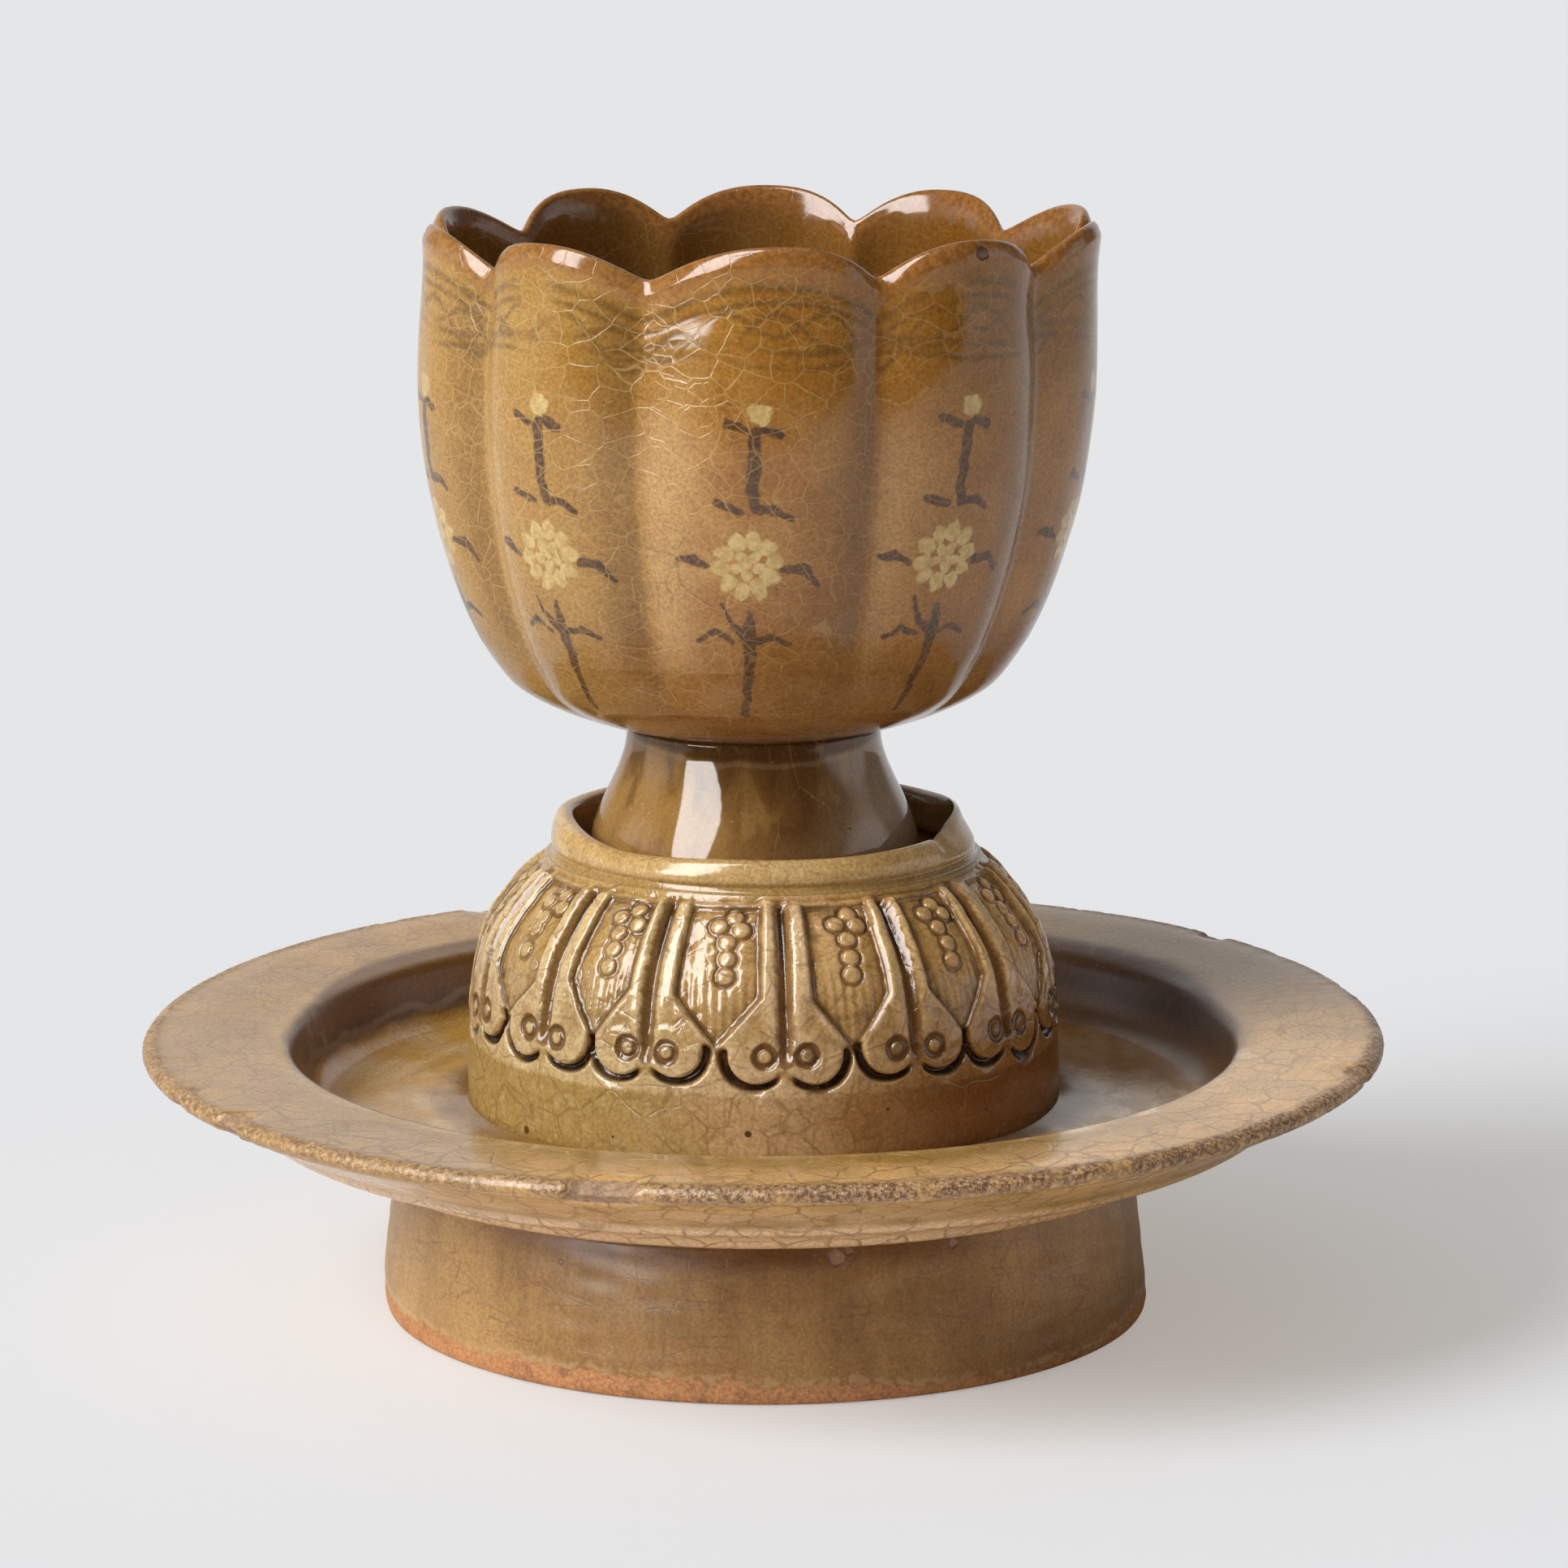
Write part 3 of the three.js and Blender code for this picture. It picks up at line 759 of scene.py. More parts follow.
bead_line = (bead + shaky * 0.6).line(1.2, 0.12, 0.36) * (thick * 0.3 + 0.7)
stamp_line = (stamp + shaky * 0.7).line(1.12, 0.24, 0.58)
filled = (1 - (stamp + shaky).ease(0.9, 1.4)) * finish.noise(place, 7.0, 0.0).ease(0.5, 0.56) * 0.6
lines = (shield_line * 0.85).most(bead_line * 0.78).most(stamp_line * 0.92).most(filled)
colour = finish.mix(lines, colour, petal_line)
in_shade = x.ease(1.0, 22.0) * (1 - (z - x * 0.2).ease(28.0, 38.0))
colour = finish.tinted(in_shade * 0.9, colour, shade_tint)
# Painted light and shade: the right side is tinted darker and browner, the left side, where the lamp falls,
# a tenth darker, and the top of the dome and the upper petals on the right are painted lighter.
colour = finish.tinted(x.ease(4.0, 14.0), colour, right_painted_shade_tint)
colour = finish.tinted((0 - x).ease(2.0, 14.0), colour, left_painted_shade_tint)
right_petals_painted_light = x.ease(20.0, 30.0) * z.ease(34.0, 42.0)
colour = finish.lit(colour, z.ease(40.0, 50.0) * 0.15 + right_petals_painted_light * 0.3 + 1)
undercut = gouge.ease(0.15, 0.75) * (lobe + shaky).ease(-0.10, 0.08)
colour = finish.mix(undercut.most(cut.ease(0.75, 1.2) * 0.8), colour, petal_shade)
cracks = crackle(finish, finish.stretched(place, 0.8, 0.8, 1.1), 4.4, 0.2)
cracks = cracks.most(crackle(finish, finish.stretched(place, 1, 1, 0.5), 2.2, 0.15, 4) * 0.6)
cracks = cracks * finish.noise(place, 3.0).ease(0.34, 0.54)
colour = finish.mix(cracks * 0.45, colour, petal_crack)
flecks = spots(finish, place, pedestal_flecks)
dark_body = finish.noise(place, 0.8, 2.0, 0.5).ease(0.68, 0.76) * 0.4
colour = finish.mix(dark_body.most(flecks), grainy(finish, place, colour, 0.2), petal_fleck)
rough = finish.noise(place, 2.0) * 0.10 + 0.05 + (1 - petals) * 0.08
sunk = shield.ease(-0.05, 0.16) * 0.14 + shield_line * 0.08 + bead_line * 0.1
sunk = sunk + stamp_line * 0.12 + undercut * 0.3
relief = ripple(finish, place) + shaky * (petals * 0.05 + 0.03) - cracks * 0.02 - sunk
pedestal.data.materials.append(glaze(finish, colour, rough, relief))
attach(pedestal, "stand")
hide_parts("stand_pedestal")

# The collar is a low upright ring luted to the top of the pedestal, so that the cup's foot can't slide off.
# A groove is turned under its rounded outside, and at the right its rim pulled up to a torn point.
collar_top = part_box("stand_collar")[1].z / MM
collar_inside = 21.9
tear_turn = 60
collar_tan = (0.62, 0.41, 0.175, 1)
collar_olive = (0.54, 0.335, 0.12, 1)
collar_pool = (0.33, 0.19, 0.05, 1)
collar_worn = (0.62, 0.43, 0.22, 1)
collar_inner_painted_shade = (0.19, 0.10, 0.035, 1)
collar_crack = (0.24, 0.11, 0.035, 1)
collar_rows = outline(
    (collar_inside, seat),
    (4, [(25.0, seat)]),
    (8, [(24.6, seat + 0.35), (24.3, seat + 1.0)]),
    (16, [(24.6, seat + 1.7), (24.5, seat + 2.9), (24.1, seat + 3.9)]),
    (8, [(23.8, collar_top - 0.35), (23.2, collar_top), (22.6, collar_top - 0.1)]),
    (5, [(22.1, collar_top - 0.4), (collar_inside, collar_top - 1.2)]),
    (8, [(collar_inside, seat)]),
)
angle, radius, height = sweep(collar_rows, full_turn(480))
upper = ease(height, seat + 1.5, collar_top)
turned = np.degrees(angle)
torn = ease(turned, 61, 74) * (1 - ease(turned, 79, 128))
nick = np.exp(-(((turned - tear_turn) / 2.2) ** 2))
sunk = 1.1 * ease(np.cos(angle), 0.0, 0.95) * (height - seat) / (collar_top - seat)
height = height + upper * (0.55 * torn - 0.4 * nick + 0.18 * wobble(21, angle, 0, 7, 9)) - sunk
slumped = ease(turned, 52, 72) * (1 - ease(turned, 95, 130))
slumped = slumped * ease(height, seat + 0.6, collar_top - 0.6)
radius = radius + 0.12 * wobble(22, angle, height, 8, 12) * ease(height, seat, seat + 1)
radius = radius - (0.3 * nick * upper + 1.2 * slumped) * ease(radius, collar_inside, 23.5)
collar = skin("stand_collar_glazed", angle, radius, height)

finish = Finish(bpy.data.materials.new("tan_glaze_on_the_collar"))
place = finish.place()
z = finish.parts(place)[2]
colour = finish.mix(finish.noise(place, 6.0, 4.0, 0.6).ease(0.35, 0.65), collar_tan, collar_olive)
low = 1 - z.ease(seat + 0.6, seat + 2.0)
colour = finish.mix(low * 0.7, colour, collar_pool)
out = finish.from_axis(place)
rim = (z + finish.stray(place, 0.8, 1.2)).ease(collar_top - 0.9, collar_top - 0.3)
rim = rim * out.ease(22.4, 23.2)
colour = finish.mix(rim * 0.7, colour, collar_worn)
# Painted shade: the inside of the collar is painted dark.
colour = finish.mix((1 - out.ease(22.0, 22.9)) * 0.8, colour, collar_inner_painted_shade)
cracks = crackle(finish, finish.stretched(place, 1, 1, 0.45), 2.6, 0.09, 5)
cracks = cracks * finish.noise(place, 3.0).ease(0.42, 0.6)
colour = finish.mix(cracks * 0.42, grainy(finish, place, colour, 0.24), collar_crack)
uneven = finish.noise(place, 1.2, 4.0, 0.65) - 0.5
rough = finish.noise(place, 3.0) * 0.12 + 0.08 + rim * 0.12
relief = ripple(finish, place) + uneven * 0.02 - cracks * 0.012
collar.data.materials.append(glaze(finish, colour, rough, relief))
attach(collar, "stand")
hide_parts("stand_collar")

# The cup's foot is thrown hollow and flares out like a trumpet, and its rounded edge stands inside the
# collar. Its glaze ran down thick and dark, so it is the glossiest and brownest part of the cup.
foot_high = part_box("cup_foot")[1]
cup_seam = foot_high.z / MM
foot_radius = foot_high.x / MM
bowl_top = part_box("cup_bowl")[1].z / MM
neck = cup_seam + 1.9
foot_bore = 15.8
foot_aside = 1.05
foot_pits = [(-62.0, 14.7, 64.0, 0.45), (35.0, 17.5, 59.0, 0.3)]
foot_dark = (0.155, 0.070, 0.018, 1)
foot_amber_painted_light = (0.33, 0.175, 0.045, 1)
foot_run = (0.11, 0.048, 0.014, 1)
foot_thin = (0.36, 0.20, 0.06, 1)
foot_base = (0.40, 0.21, 0.07, 1)
foot_painted_sheen = (0.47, 0.32, 0.20, 1)
foot_pool_and_shade = (0.095, 0.040, 0.011, 1)
foot_run_edge_and_highlight = (0.42, 0.29, 0.16, 1)
foot_crack = (0.42, 0.24, 0.07, 1)
foot_pit = (0.04, 0.02, 0.01, 1)
foot_rows = outline(
    (foot_bore, seat),
    (3, [(foot_radius - 0.6, seat)]),
    (6, [(foot_radius - 0.1, seat + 0.5), (foot_radius, seat + 1.4)]),
    (72, [
        (18.8, 56.2), (18.3, 57.8), (17.65, 59.4), (16.9, 61.0),
        (16.1, 62.7), (15.35, 64.5), (14.8, 66.4), (14.6, neck - 0.3),
    ]),
    (2, [(14.2, neck)]),
    (3, [(11.2, neck)]),
    (16, [(12.2, 62.0), (14.0, 57.6), (15.5, 54.2)]),
    (2, [(foot_bore, seat)]),
)


def lean(height):
    """The cup's middle at each height: left of the axis in the roomy collar, and close to it at the rim."""
    return ((height - 72) / 55).clip(0, 1) ** 1.4 - foot_aside


angle, radius, height = sweep(foot_rows, full_turn(320))
free = ease(height, seat + 0.4, seat + 2)
radius = radius + free * 0.04 * wobble(31, angle, height, 7, 40)
cup_foot = skin("cup_foot_glazed", angle, radius, height, aside=lean(height))

finish = Finish(bpy.data.materials.new("dark_amber_glaze_on_the_foot"))
place = finish.place()
x, _, z = finish.parts(place)
upright = finish.stretched(place, 1, 1, 0.1)
runs = finish.noise(upright, 3.2, 2.0, 0.5)
# Painted light: the foot is amber towards the left, where the lamp is, and dark brown elsewhere.
to_left = (0 - x).ease(-3.0, 13.0)
colour = finish.mix(to_left, foot_dark, foot_amber_painted_light)
colour = finish.mix(runs.ease(0.5, 0.66) * 0.6, colour, foot_run)
colour = finish.mix((1 - runs.ease(0.34, 0.48)) * 0.5, colour, foot_thin)
colour = finish.mix((1 - z.ease(seat + 1.5, seat + 6.5)) * 0.55, colour, foot_base)
# Painted sheen: low on the right the foot is painted a pale grey-brown.
low_right_sheen = x.ease(4.0, 15.0) * (0.9 - z.ease(seat + 4.0, seat + 11.0) * 0.35)
colour = finish.mix(low_right_sheen, colour, foot_painted_sheen)
# Just under the bowl the foot is dark, from pooled glaze and painted shade, and a pale line at the edge of
# that band is partly the run's edge and partly a painted highlight.
run_line = z + finish.stray(place, 1.4, 5.0, 1.0) - x * x * 0.0066
colour = finish.mix(run_line.ease(neck - 2.6, neck - 1.8) * 0.75, colour, foot_pool_and_shade)
colour = finish.mix(run_line.line(neck - 2.6, 0.1, 0.45) * 0.25, colour, foot_run_edge_and_highlight)
cracks = crackle(finish, finish.stretched(place, 1, 1, 0.25), 3.0, 0.10, 6)
cracks = cracks * finish.noise(place, 4.0).ease(0.45, 0.6)
colour = finish.mix(cracks * 0.3, grainy(finish, place, colour, 0.16), foot_crack)
pits = spots(finish, place, foot_pits)
colour = finish.mix(pits, colour, foot_pit)
rough = finish.noise(place, 4.0) * 0.03 + 0.05
relief = finish.noise(upright, 6.0, 1.0) * 0.05 + finish.noise(place, 1.2, 1.0) * 0.0015 - pits * 0.3
cup_foot.data.materials.append(glaze(finish, colour, rough, relief))
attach(cup_foot, "cup")
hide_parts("cup_foot")

# The bowl is thrown thin and pressed into ten lobes from the belly up, which leaves its rim scalloped. A
# chrysanthemum spray was cut into each lobe and filled with black and white slip, with waves incised above.
belly_radius = 38.6
belly_rise = 44.5
belly = cup_seam + belly_rise
seam_radius = 14.7
bowl_wall = 2.1
inside_floor = cup_seam + 3.4
waist = 0.32
lip_flare = 0.25
furrow_depth = 2.0
notch_depth = 3.8
notch_roundness = 0.18
lobe_columns = 36
furrows = [-161.5, -126, -91, -56, -20.3, 21.2, 57.7, 92, 126, 161.5]
lobe_skew = [0.05, -0.1, 0.08, 0.1, -0.12, 0.06, -0.05, 0.1, -0.06, 0.05]
spray_turns = [-145, -107, -75, -38.7, -1.2, 35.2, 75, 110, 142, 178]
spray_leans = [0.03, -0.04, 0.05, -0.06, 0.0, 0.03, -0.03, 0.05, 0.02, -0.04]
spray_height = 92.5
off_the_spray = 500.0
bowl_pinholes = [
    (-71.5, 38.0, 119.5, 0.3), (72.5, 38.0, 119.0, 0.3), (38.5, 38.4, 126.0, 0.9),
    (-9.0, 37.0, 88.0, 0.18), (150.0, 37.5, 99.0, 0.35), (-120.0, 38.0, 109.0, 0.3),
]
cup_amber = (0.43, 0.215, 0.06, 1)
cup_olive = (0.40, 0.19, 0.035, 1)
cup_tan = (0.52, 0.31, 0.12, 1)
cup_brown = (0.20, 0.085, 0.025, 1)
cup_crack = (0.62, 0.40, 0.15, 1)
black_slip = (0.085, 0.045, 0.028, 1)
white_slip = (0.74, 0.55, 0.24, 1)
buff_slip = (0.56, 0.37, 0.13, 1)
cup_deep = (0.36, 0.17, 0.05, 1)
cup_painted_light = (0.52, 0.32, 0.085, 1)
cup_wave = (0.13, 0.065, 0.018, 1)
furrow_painted_shade = (0.17, 0.075, 0.018, 1)
furrow_painted_light = (0.72, 0.47, 0.22, 1)
cup_dark_crack = (0.14, 0.06, 0.02, 1)
cup_inside_painted_shade = (0.15, 0.060, 0.012, 1)
rim_orange = (0.40, 0.165, 0.045, 1)
rim_burnt = (0.23, 0.085, 0.022, 1)
cup_pinhole = (0.07, 0.03, 0.015, 1)
upper_right_painted_shade = (0.8, 0.78, 0.72)
upper_tint = (0.95, 0.88, 0.6)
cup_right_painted_shade = (0.86, 0.77, 0.66)


def wall_points(first, last, inwards):
    """Points up the wall above the belly, which dips to a waist and turns out again at the lip."""
    share = np.linspace(first, last, 9)
    radius = belly_radius + lip_flare * share**3 - waist * np.sin(np.pi * share**2.2) - inwards
    return np.column_stack([radius, belly + (bowl_top - belly) * share])


quarter = np.linspace(0, np.pi / 2, 30)
out_curve = np.column_stack([
    seam_radius + (belly_radius - seam_radius) * np.sin(quarter),
    cup_seam + belly_rise * (1 - np.cos(quarter)),
])[quarter > 0.72]
underside = [(14.6, neck), (17.0, 69.35), (20.0, 70.2), (23.0, 71.4), (26.0, 73.0), (28.4, 75.0)]
out_curve = np.vstack([underside, out_curve])
in_curve = np.column_stack([
    (belly_radius - bowl_wall) * np.cos(quarter),
    belly - (belly - inside_floor) * np.sin(quarter),
])
outside_wall = wall_points(0, 0.86, 0)
inside_wall = wall_points(0.88, 0, bowl_wall)
lip_radius = outside_wall[-1][0] + 0.1
lip_points = [
    (lip_radius - 0.08, bowl_top - 1.6), (lip_radius - 0.38, bowl_top - 0.75),
    (lip_radius - 0.68, bowl_top - 0.24), (lip_radius - 1.1, bowl_top),
    (lip_radius - 1.6, bowl_top - 0.4), inside_wall[0],
]
under_rows = [(0, neck), (8.0, neck), (13.6, neck)]
belly_steps = 84
wall_steps = 26
lip_steps = 14
bowl_rows = np.vstack([
    under_rows,
    outline(
        out_curve[0],
        (belly_steps, out_curve[1:]),
        (wall_steps, outside_wall[1:]),
        (lip_steps, lip_points),
        (20, inside_wall[1:]),
        (44, in_curve[1:]),
    ),
    [(0, inside_floor)],
])
outside_rows = len(under_rows) + belly_steps + wall_steps + 6  # the lip's first six rows face out

edges = np.radians(furrows + [furrows[0] + 360])
share = np.arange(lobe_columns) / lobe_columns
columns = np.concatenate([low + (high - low) * share for low, high in zip(edges, edges[1:])])
angle, radius, height = sweep(bowl_rows, columns)
lobe = np.arange(columns.size) // lobe_columns
across = np.tile(2 * share - 1, len(furrows))
across = across + np.array(lobe_skew)[lobe] * (1 - across**2)
open_share = 1 - np.abs(across) ** 2.4
sharp = np.hypot(open_share, notch_roundness) - notch_roundness
notch = 1 - sharp / (math.hypot(1, notch_roundness) - notch_roundness)
pressed = ease(radius, seam_radius, belly_radius)
rim_share = ease(height, belly, bowl_top)
bare_radius = radius
radius = radius - pressed * furrow_depth * notch * (1 + 0.4 * ease(height, belly - 12, bowl_top))
dent = np.exp(-(((height - 120.6) / 2.4) ** 2) - ((np.degrees(angle) + 11) / 4) ** 2)
radius = radius - 0.16 * dent
radius = radius + 0.22 * pressed * wobble(41, angle, height, 8, 60)
radius = radius + 0.05 * pressed * wobble(42, angle, height, 20, 12)
radius = radius + 0.4 * pressed * np.sin(angle) ** 2
rim_line = notch_depth * notch + 0.22 * wobble(43, angle, 0, 6, 9)
height = height - rim_share * rim_line
drop = bowl_top - rim_line - height
inside = np.zeros_like(radius)
inside[outside_rows + 4:] = 1
# The flank mark places painted light and shade at each furrow: about 1 a couple of millimetres right of it
# and -1 just left of it, fading out low on the bowl and at the rim.
lobe_half = np.repeat(np.diff(edges) / 2, lobe_columns) * belly_radius
right_of_furrow = (1 + across) * lobe_half / 2.0
left_of_furrow = (1 - across) * lobe_half / 1.8
flank = right_of_furrow * np.exp(1 - right_of_furrow) - left_of_furrow * np.exp(1 - left_of_furrow)
flank = flank * ease(height, 74, 86) * ease(drop, 1.5, 5.0)
marks = {"drop": drop, "inside": inside, "flank": flank}
bowl = skin("cup_bowl_inlaid", angle, radius, height, poles=True, marks=marks, aside=lean(height))


def spray_places(turned, rows):
    """Where points lie on their lobe's spray: across it and above its flower's middle, in millimetres."""
    above = height[rows] - spray_height
    turn = turned - np.radians(spray_turns)[lobe]
    side = ((turn + np.pi) % (2 * np.pi) - np.pi) * bare_radius[rows]
    leaned = np.array(spray_leans)[lobe] * np.clip(above - 5, 0, None)
    return np.stack([side - leaned, above], axis=-1)


width = np.repeat(np.diff(edges) / lobe_columns, lobe_columns)
low_rows = slice(1, -2)
high_rows = slice(2, -1)
corners = np.stack([
    spray_places(angle[low_rows], low_rows), spray_places(angle[low_rows] + width, low_rows),
    spray_places(angle[high_rows] + width, high_rows), spray_places(angle[high_rows], high_rows),
], axis=2)
corners[outside_rows:] = off_the_spray
fan = np.full((columns.size * 3, 2), off_the_spray)
all_corners = np.vstack([fan, corners.reshape(-1, 2), fan])
spray_map = bowl.data.uv_layers.new(name="spray")
spray_map.data.foreach_set("uv", all_corners.ravel().astype(np.float32))


def stroke(finish, spot, begin, end):
    """How far a point is outside one tapered stroke of the knife. An end is (across, up, half width)."""
    run = np.subtract(end, begin)[:2]
    from_begin = finish.vector("SUBTRACT", spot, (*begin[:2], 0))
    share = finish.vector("DOT_PRODUCT", from_begin, (*(run / (run @ run)), 0)).output(1)
    share = finish.node("Clamp", {}, {0: share})
    nearest = finish.vector("SUBTRACT", from_begin, finish.scaled((*run, 0), share))
    return finish.vector("LENGTH", nearest).output(1) - (share * (end[2] - begin[2]) + begin[2])


def strokes(finish, spot, lines):
    """How far a point is outside the nearest of some lines, each a chain of strokes."""
    return least_of(stroke(finish, spot, *pair) for line in lines for pair in zip(line, line[1:]))


def petal_ring(finish, spot, count, ring, size, turn):
    """How far a point is outside a ring of round stamped petals, as a share of a petal's half size. The
    size is (half length, half width), and the turn is in petals."""
    out = finish.vector("LENGTH", spot).output(1)
    across, up, _ = finish.parts(spot)
    turned = across.maths("ARCTAN2", across, up) * (count / (2 * math.pi)) + turn
    side = (turned.maths("FRACT", turned) - 0.5) * out * (2 * math.pi / count / size[1])
    away = (out - ring) / size[0]
    square = away * away + side * side
    return square.maths("SQRT", square) - 1


finish = Finish(bpy.data.materials.new("amber_celadon_glaze_over_inlaid_slip"))
place = finish.place()
x, y, z = finish.parts(place)
drop = finish.mark("drop")
outer = 1 - finish.mark("inside").ease(0.2, 0.8)
blots = finish.noise(place, 12.0, 4.0, 0.6).ease(0.35, 0.65)
colour = finish.mix(blots, cup_amber, cup_deep)
upper = (z + finish.stray(place, 8.0, 12.0)).ease(104.0, 114.0)
colour = finish.mix(upper * 0.8, colour, cup_olive)
patches = finish.noise(finish.vector("ADD", place, (0, 0, 60.0)), 14.0, 3.0).ease(0.45, 0.65)
colour = finish.mix(patches * 0.4, colour, cup_tan)
low = 1 - (z + finish.stray(place, 5.0, 8.0)).ease(79.0, 86.0)
colour = finish.mix(low * 0.45, colour, cup_brown)
# Painted light and shade: the bowl is painted lighter towards the left, where the lamp is, and darker in its
# upper right.
colour = finish.mix((0 - x).ease(8.0, 30.0) * 0.45, colour, cup_painted_light)
colour = finish.tinted(upper * x.ease(6.0, 24.0), colour, upper_right_painted_shade)
colour = finish.tinted(upper * 0.5, colour, upper_tint)
# A painted sheen lightens the front left lobe.
left_lobe_sheen = x.ease(-24.0, -16.0) * (1 - x.ease(-4.0, 4.0)) * (1 - upper)
colour = finish.lit(colour, left_lobe_sheen * 0.08 + 1)
# Painted shade: the bowl is darker and browner towards the right.
to_right = (x + (blots - 0.5) * 12.0).ease(-14.0, 4.0)
colour = finish.tinted(to_right, colour, cup_right_painted_shade)

turn = x.maths("ARCTAN2", x, 0 - y)
stir = finish.stray(place, 1.4, 7.0)
swell = (turn * 20.0 + 0.7).sine() * 1.6
wave_lines = least_of(abs(level - middle) / half_width for level, middle, half_width in [
    (drop + stir, 4.4, 0.42),
    (drop + stir * 0.8, 6.0, 0.3),
    (drop + stir + swell, 8.8, 0.4),
    (drop + stir - swell, 8.2, 0.34),
    (z + stir + (turn * 10.0).sine() * 0.6, 116.4, 0.38),
    (z + stir + (turn * 10.0 + 0.4).sine() * 0.6, 114.9, 0.3),
])
waves = (1 - wave_lines.ease(0.1, 2.0)) * finish.noise(place, 9.0).ease(0.3, 0.52) * outer
colour = finish.mix(waves * 0.58, colour, cup_wave)

light_cracks = crackle(finish, finish.stretched(place, 1, 1, 1.3), 3.6, 0.11)
small_cracks = crackle(finish, place, 1.9, 0.09, 2) * finish.noise(place, 9.0).ease(0.46, 0.6)
# Painted shade on the flanks left of the furrows, and painted light on those right of them.
flank = finish.mark("flank") * outer
colour = finish.mix((0 - flank).ease(0.0, 1.0) * 0.48, colour, furrow_painted_shade)
flank_painted_light = flank.ease(0.0, 1.0) * (1 - z.ease(100.0, 114.0) * 0.85) * (1 - x.ease(4.0, 20.0) * 0.6)
colour = finish.mix(flank_painted_light * 0.3, colour, furrow_painted_light)
unbroken = finish.noise(place, 3.0).ease(0.28, 0.44) * (1 - low * 0.4) * (outer * 0.7 + 0.3)
unbroken = unbroken * (1.25 - x.ease(-12.0, 20.0) * 0.75)
light_cracks = light_cracks.most(small_cracks * 0.7) * unbroken
dark_cracks = crackle(finish, place, 5.2, 0.12, 4) * finish.noise(place, 6.0).ease(0.5, 0.62)
colour = finish.mix(dark_cracks * 0.3, colour, cup_dark_crack)
# Painted shade: the inside of the bowl is painted dark, most on the left.
colour = finish.mix((1 - outer) * (0.80 - x.ease(-10.0, 16.0) * 0.48), colour, cup_inside_painted_shade)
colour = grainy(finish, place, colour, 0.24)

spray = finish.node("UVMap", {"uv_map": "spray"}, {})
for size, reach in [(3.5, 0.5), (1.3, 0.35)]:
    shake = finish.vector("SUBTRACT", finish.stirred(place, size, reach), place)
    spray = finish.vector("ADD", spray, shake)
cut_lines = strokes(finish, spray, [
    [(-2.6, 15.8, 0.5), (-0.5, 15.0, 0.4)],
    [(1.5, 15.3, 0.5), (3.3, 14.5, 0.5)],
    [(0.65, 14.7, 0.7), (0.5, 8.7, 0.66), (0.9, 6.3, 0.55), (3.0, 6.3, 0.52), (4.6, 5.3, 0.3)],
    [(-3.6, 7.0, 0.5), (-0.9, 6.1, 0.42)],
    [(-7.8, 0.65, 0.35), (-6.2, 0.5, 0.6), (-4.5, -0.3, 0.35)],
    [(4.1, -0.5, 0.5), (6.2, -0.5, 0.6), (7.9, -2.4, 0.25)],
    [(-2.9, -4.5, 0.2), (-2.0, -6.8, 0.3), (-0.4, -8.4, 0.5)],
    [(0.15, -5.5, 0.35), (0.2, -8.2, 0.8), (0.3, -11.8, 0.62), (-0.3, -18.0, 0.35)],
    [(0.9, -8.7, 0.35), (2.8, -8.3, 0.42), (4.7, -9.3, 0.28)],
    [(-1.7, -8.9, 0.3), (-3.6, -7.8, 0.45), (-5.4, -8.9, 0.3)],
])
speckled = finish.noise(place, 0.5, 3.0, 0.7).ease(0.3, 0.62) * 0.35 + 0.62
black = (1 - cut_lines.ease(-0.12, 0.16)) * speckled
colour = finish.mix(black, colour, black_slip)
petals = petal_ring(finish, spray, 10, 2.95, (1.05, 0.86), 0.2)
petals = petals.least(petal_ring(finish, spray, 5, 1.25, (0.72, 0.62), 0.0))
petals = petals.least(finish.vector("LENGTH", spray).output(1) / 0.5 - 1)
bud = finish.vector("DISTANCE", spray, (1.05, 16.9, 0)).output(1) / 1.2 - 1
white = 1 - (petals.least(bud) + finish.stray(place, 0.9, 0.7, 3.0)).ease(-0.12, 0.2)
cream = finish.mix(finish.noise(place, 0.9, 3.0, 0.6).ease(0.35, 0.65), white_slip, buff_slip)
filled = finish.noise(place, 3.0).ease(0.3, 0.55) * 0.3 + 0.6
colour = finish.mix(white * filled, colour, cream)

colour = finish.mix(light_cracks * 0.33, colour, cup_crack)
rim = 1 - (drop + finish.stray(place, 2.0, 2.2, 4.0, 0.6)).ease(1.4, 3.6)
burnt = finish.noise(place, 0.7, 4.0, 0.7).ease(0.4, 0.6)
colour = finish.mix(rim * 0.7, colour, finish.mix(burnt, rim_orange, rim_burnt))
pinholes = spots(finish, place, bowl_pinholes)
colour = finish.mix(pinholes * 0.85, colour, cup_pinhole)
rough = finish.noise(place, 5.0) * 0.10 + 0.07
relief = ripple(finish, place) - waves * 0.012 - light_cracks * 0.012
relief = relief - pinholes * 0.25 - black * 0.01
bowl.data.materials.append(glaze(finish, colour, rough, relief))
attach(bowl, "cup")
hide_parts("cup_bowl")

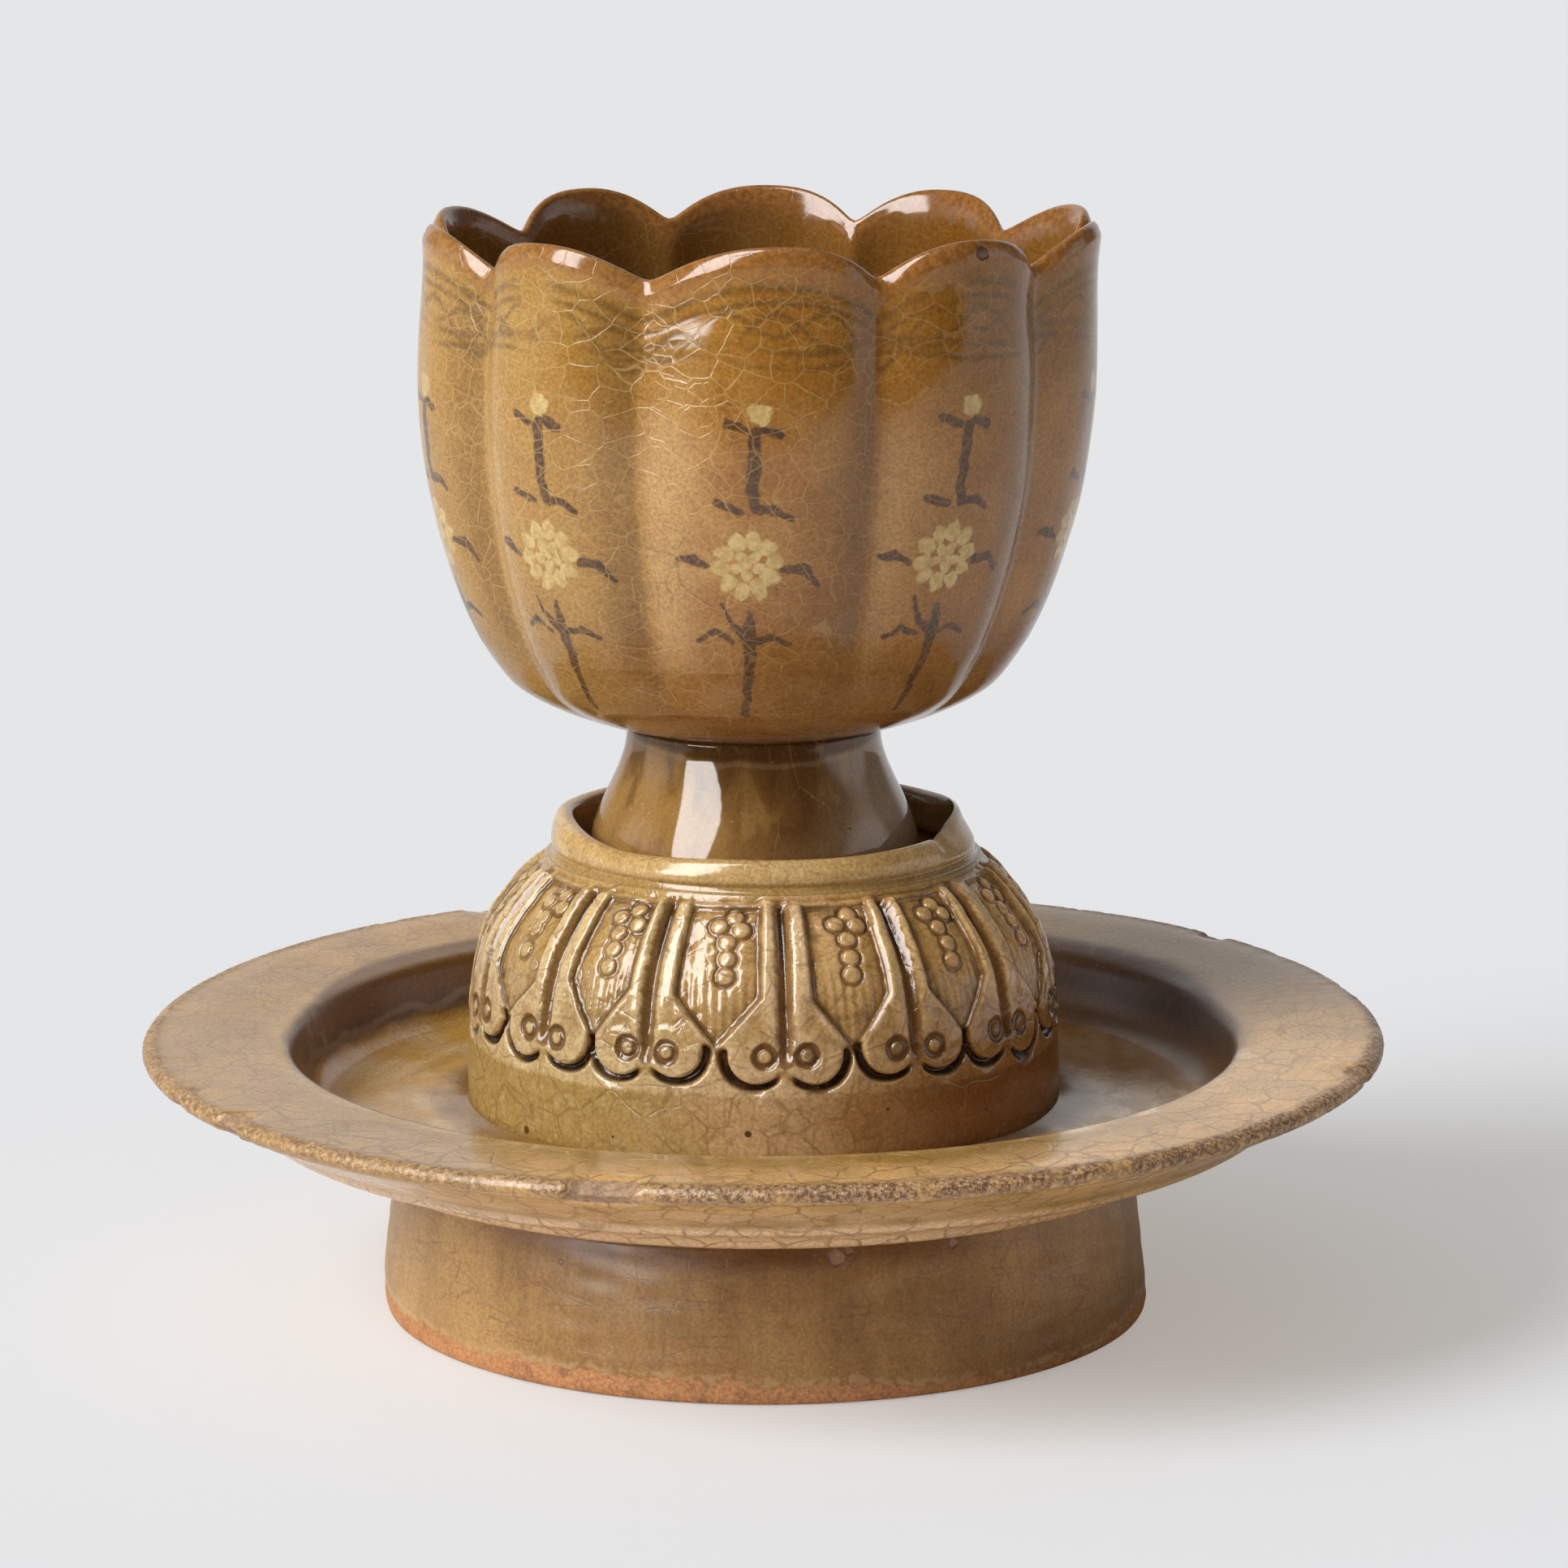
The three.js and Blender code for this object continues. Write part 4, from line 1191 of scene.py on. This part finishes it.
# The studio is a plain white table in a dim room, with a soft lamp at the front left. The camera sees the
# table with its shadows lifted, and the lamp's reflection is a tall card that is seen in the glaze alone.
table_left = -3.0
table_front = -0.6
table_back = 6.0
table_white = (0.86, 0.86, 0.875, 1)
table_seen = (0.535, 0.567, 0.614, 1)
table_lift = (0.345, 0.328, 0.305, 1)
backdrop = 0.80
card_glow = 13
mesh = bpy.data.meshes.new("table")
front_corners = [(table_left, table_front, 0), (-table_left, table_front, 0)]
back_corners = [(-table_left, table_back, 0), (table_left, table_back, 0)]
mesh.from_pydata(front_corners + back_corners, [], [(0, 1, 2, 3)])
table = bpy.data.objects.new("table", mesh)
bpy.context.scene.collection.objects.link(table)
finish = Finish(bpy.data.materials.new("matte_white_table"))
matte = finish.node("BsdfDiffuse", {}, {"Color": table_white})
seen = finish.node("BsdfDiffuse", {}, {"Color": table_seen})
lifted = finish.node("Emission", {}, {"Color": table_lift, "Strength": 1.0})
seen = finish.node("AddShader", {}, {0: seen, 1: lifted})
is_camera = finish.node("LightPath", {}, {})
matte = finish.node("MixShader", {}, {0: is_camera, 1: matte, 2: seen})
finish.node("OutputMaterial", {}, {"Surface": matte})
mesh.materials.append(finish.owner)

bpy.context.scene.world = bpy.data.worlds.new("room")
finish = Finish(bpy.context.scene.world)
towards = finish.node("TexCoord", {}, {}, output=0)
right, away, up = finish.parts(towards)
low = 1 - up
spread = right * -0.34 + low * low * 0.32 + 0.36
behind = away.ease(0.0, 0.5) * (1 - up.ease(0.5, 0.8)) * (0.85 - abs(right).ease(0.45, 0.7) * 0.7)
beside = abs(right).ease(0.86, 0.95) * (1 - up.ease(0.3, 0.6)) * 1.3
overhead = up.ease(0.8, 0.95) * 0.32
mirrored = behind.most(beside).most(overhead) + 0.03
is_camera, is_glossy = (finish.node("LightPath", {}, {}, output=k) for k in (0, 3))
level = finish.node("Mix", {"data_type": "FLOAT"}, {0: is_glossy, 2: spread, 3: mirrored})
level = finish.node("Mix", {"data_type": "FLOAT"}, {0: is_camera, 2: level, 3: backdrop})
light = finish.node("Background", {}, {"Strength": level})
finish.node("OutputWorld", {}, {"Surface": light})


def aimed(data, where, target):
    """A lamp that stands at one point and faces another, in metres."""
    lamp = bpy.data.objects.new(data.name, data)
    lamp.location = where
    towards = Vector(target) - Vector(where)
    lamp.rotation_euler = towards.to_track_quat("-Z", "Y").to_euler()
    bpy.context.scene.collection.objects.link(lamp)
    return lamp


sun = bpy.data.lights.new("soft_key", "SUN")
sun.energy = 2.6
sun.angle = math.radians(32)
key_turn = math.radians(-60)
key_rise = math.radians(36)
key_out = math.cos(key_rise)
key_place = (key_out * math.sin(key_turn), -key_out * math.cos(key_turn), math.sin(key_rise))
aimed(sun, key_place, (0, 0, 0)).visible_glossy = False

card = bpy.data.lights.new("card_reflection", "AREA")
card.shape = "RECTANGLE"
card.size = 0.66
card.size_y = 1.75
card.energy = card_glow * math.pi * card.size * card.size_y
card_turn = math.radians(-48)
reflection = aimed(card, (math.sin(card_turn), -math.cos(card_turn), 0.9), (0, 0, 0.07))
reflection.visible_diffuse = False
reflection.visible_camera = False
bpy.context.scene.view_settings.view_transform = "Standard"

camera = bpy.data.objects.new("camera", bpy.data.cameras.new("camera"))
camera.data.lens = 135.28
camera.data.sensor_width = 36
camera.location = (0.0024, -0.6693, 0.1915)
camera.rotation_euler = (math.radians(90 - 11.0065), 0, 0)
bpy.context.scene.collection.objects.link(camera)
bpy.context.scene.camera = camera
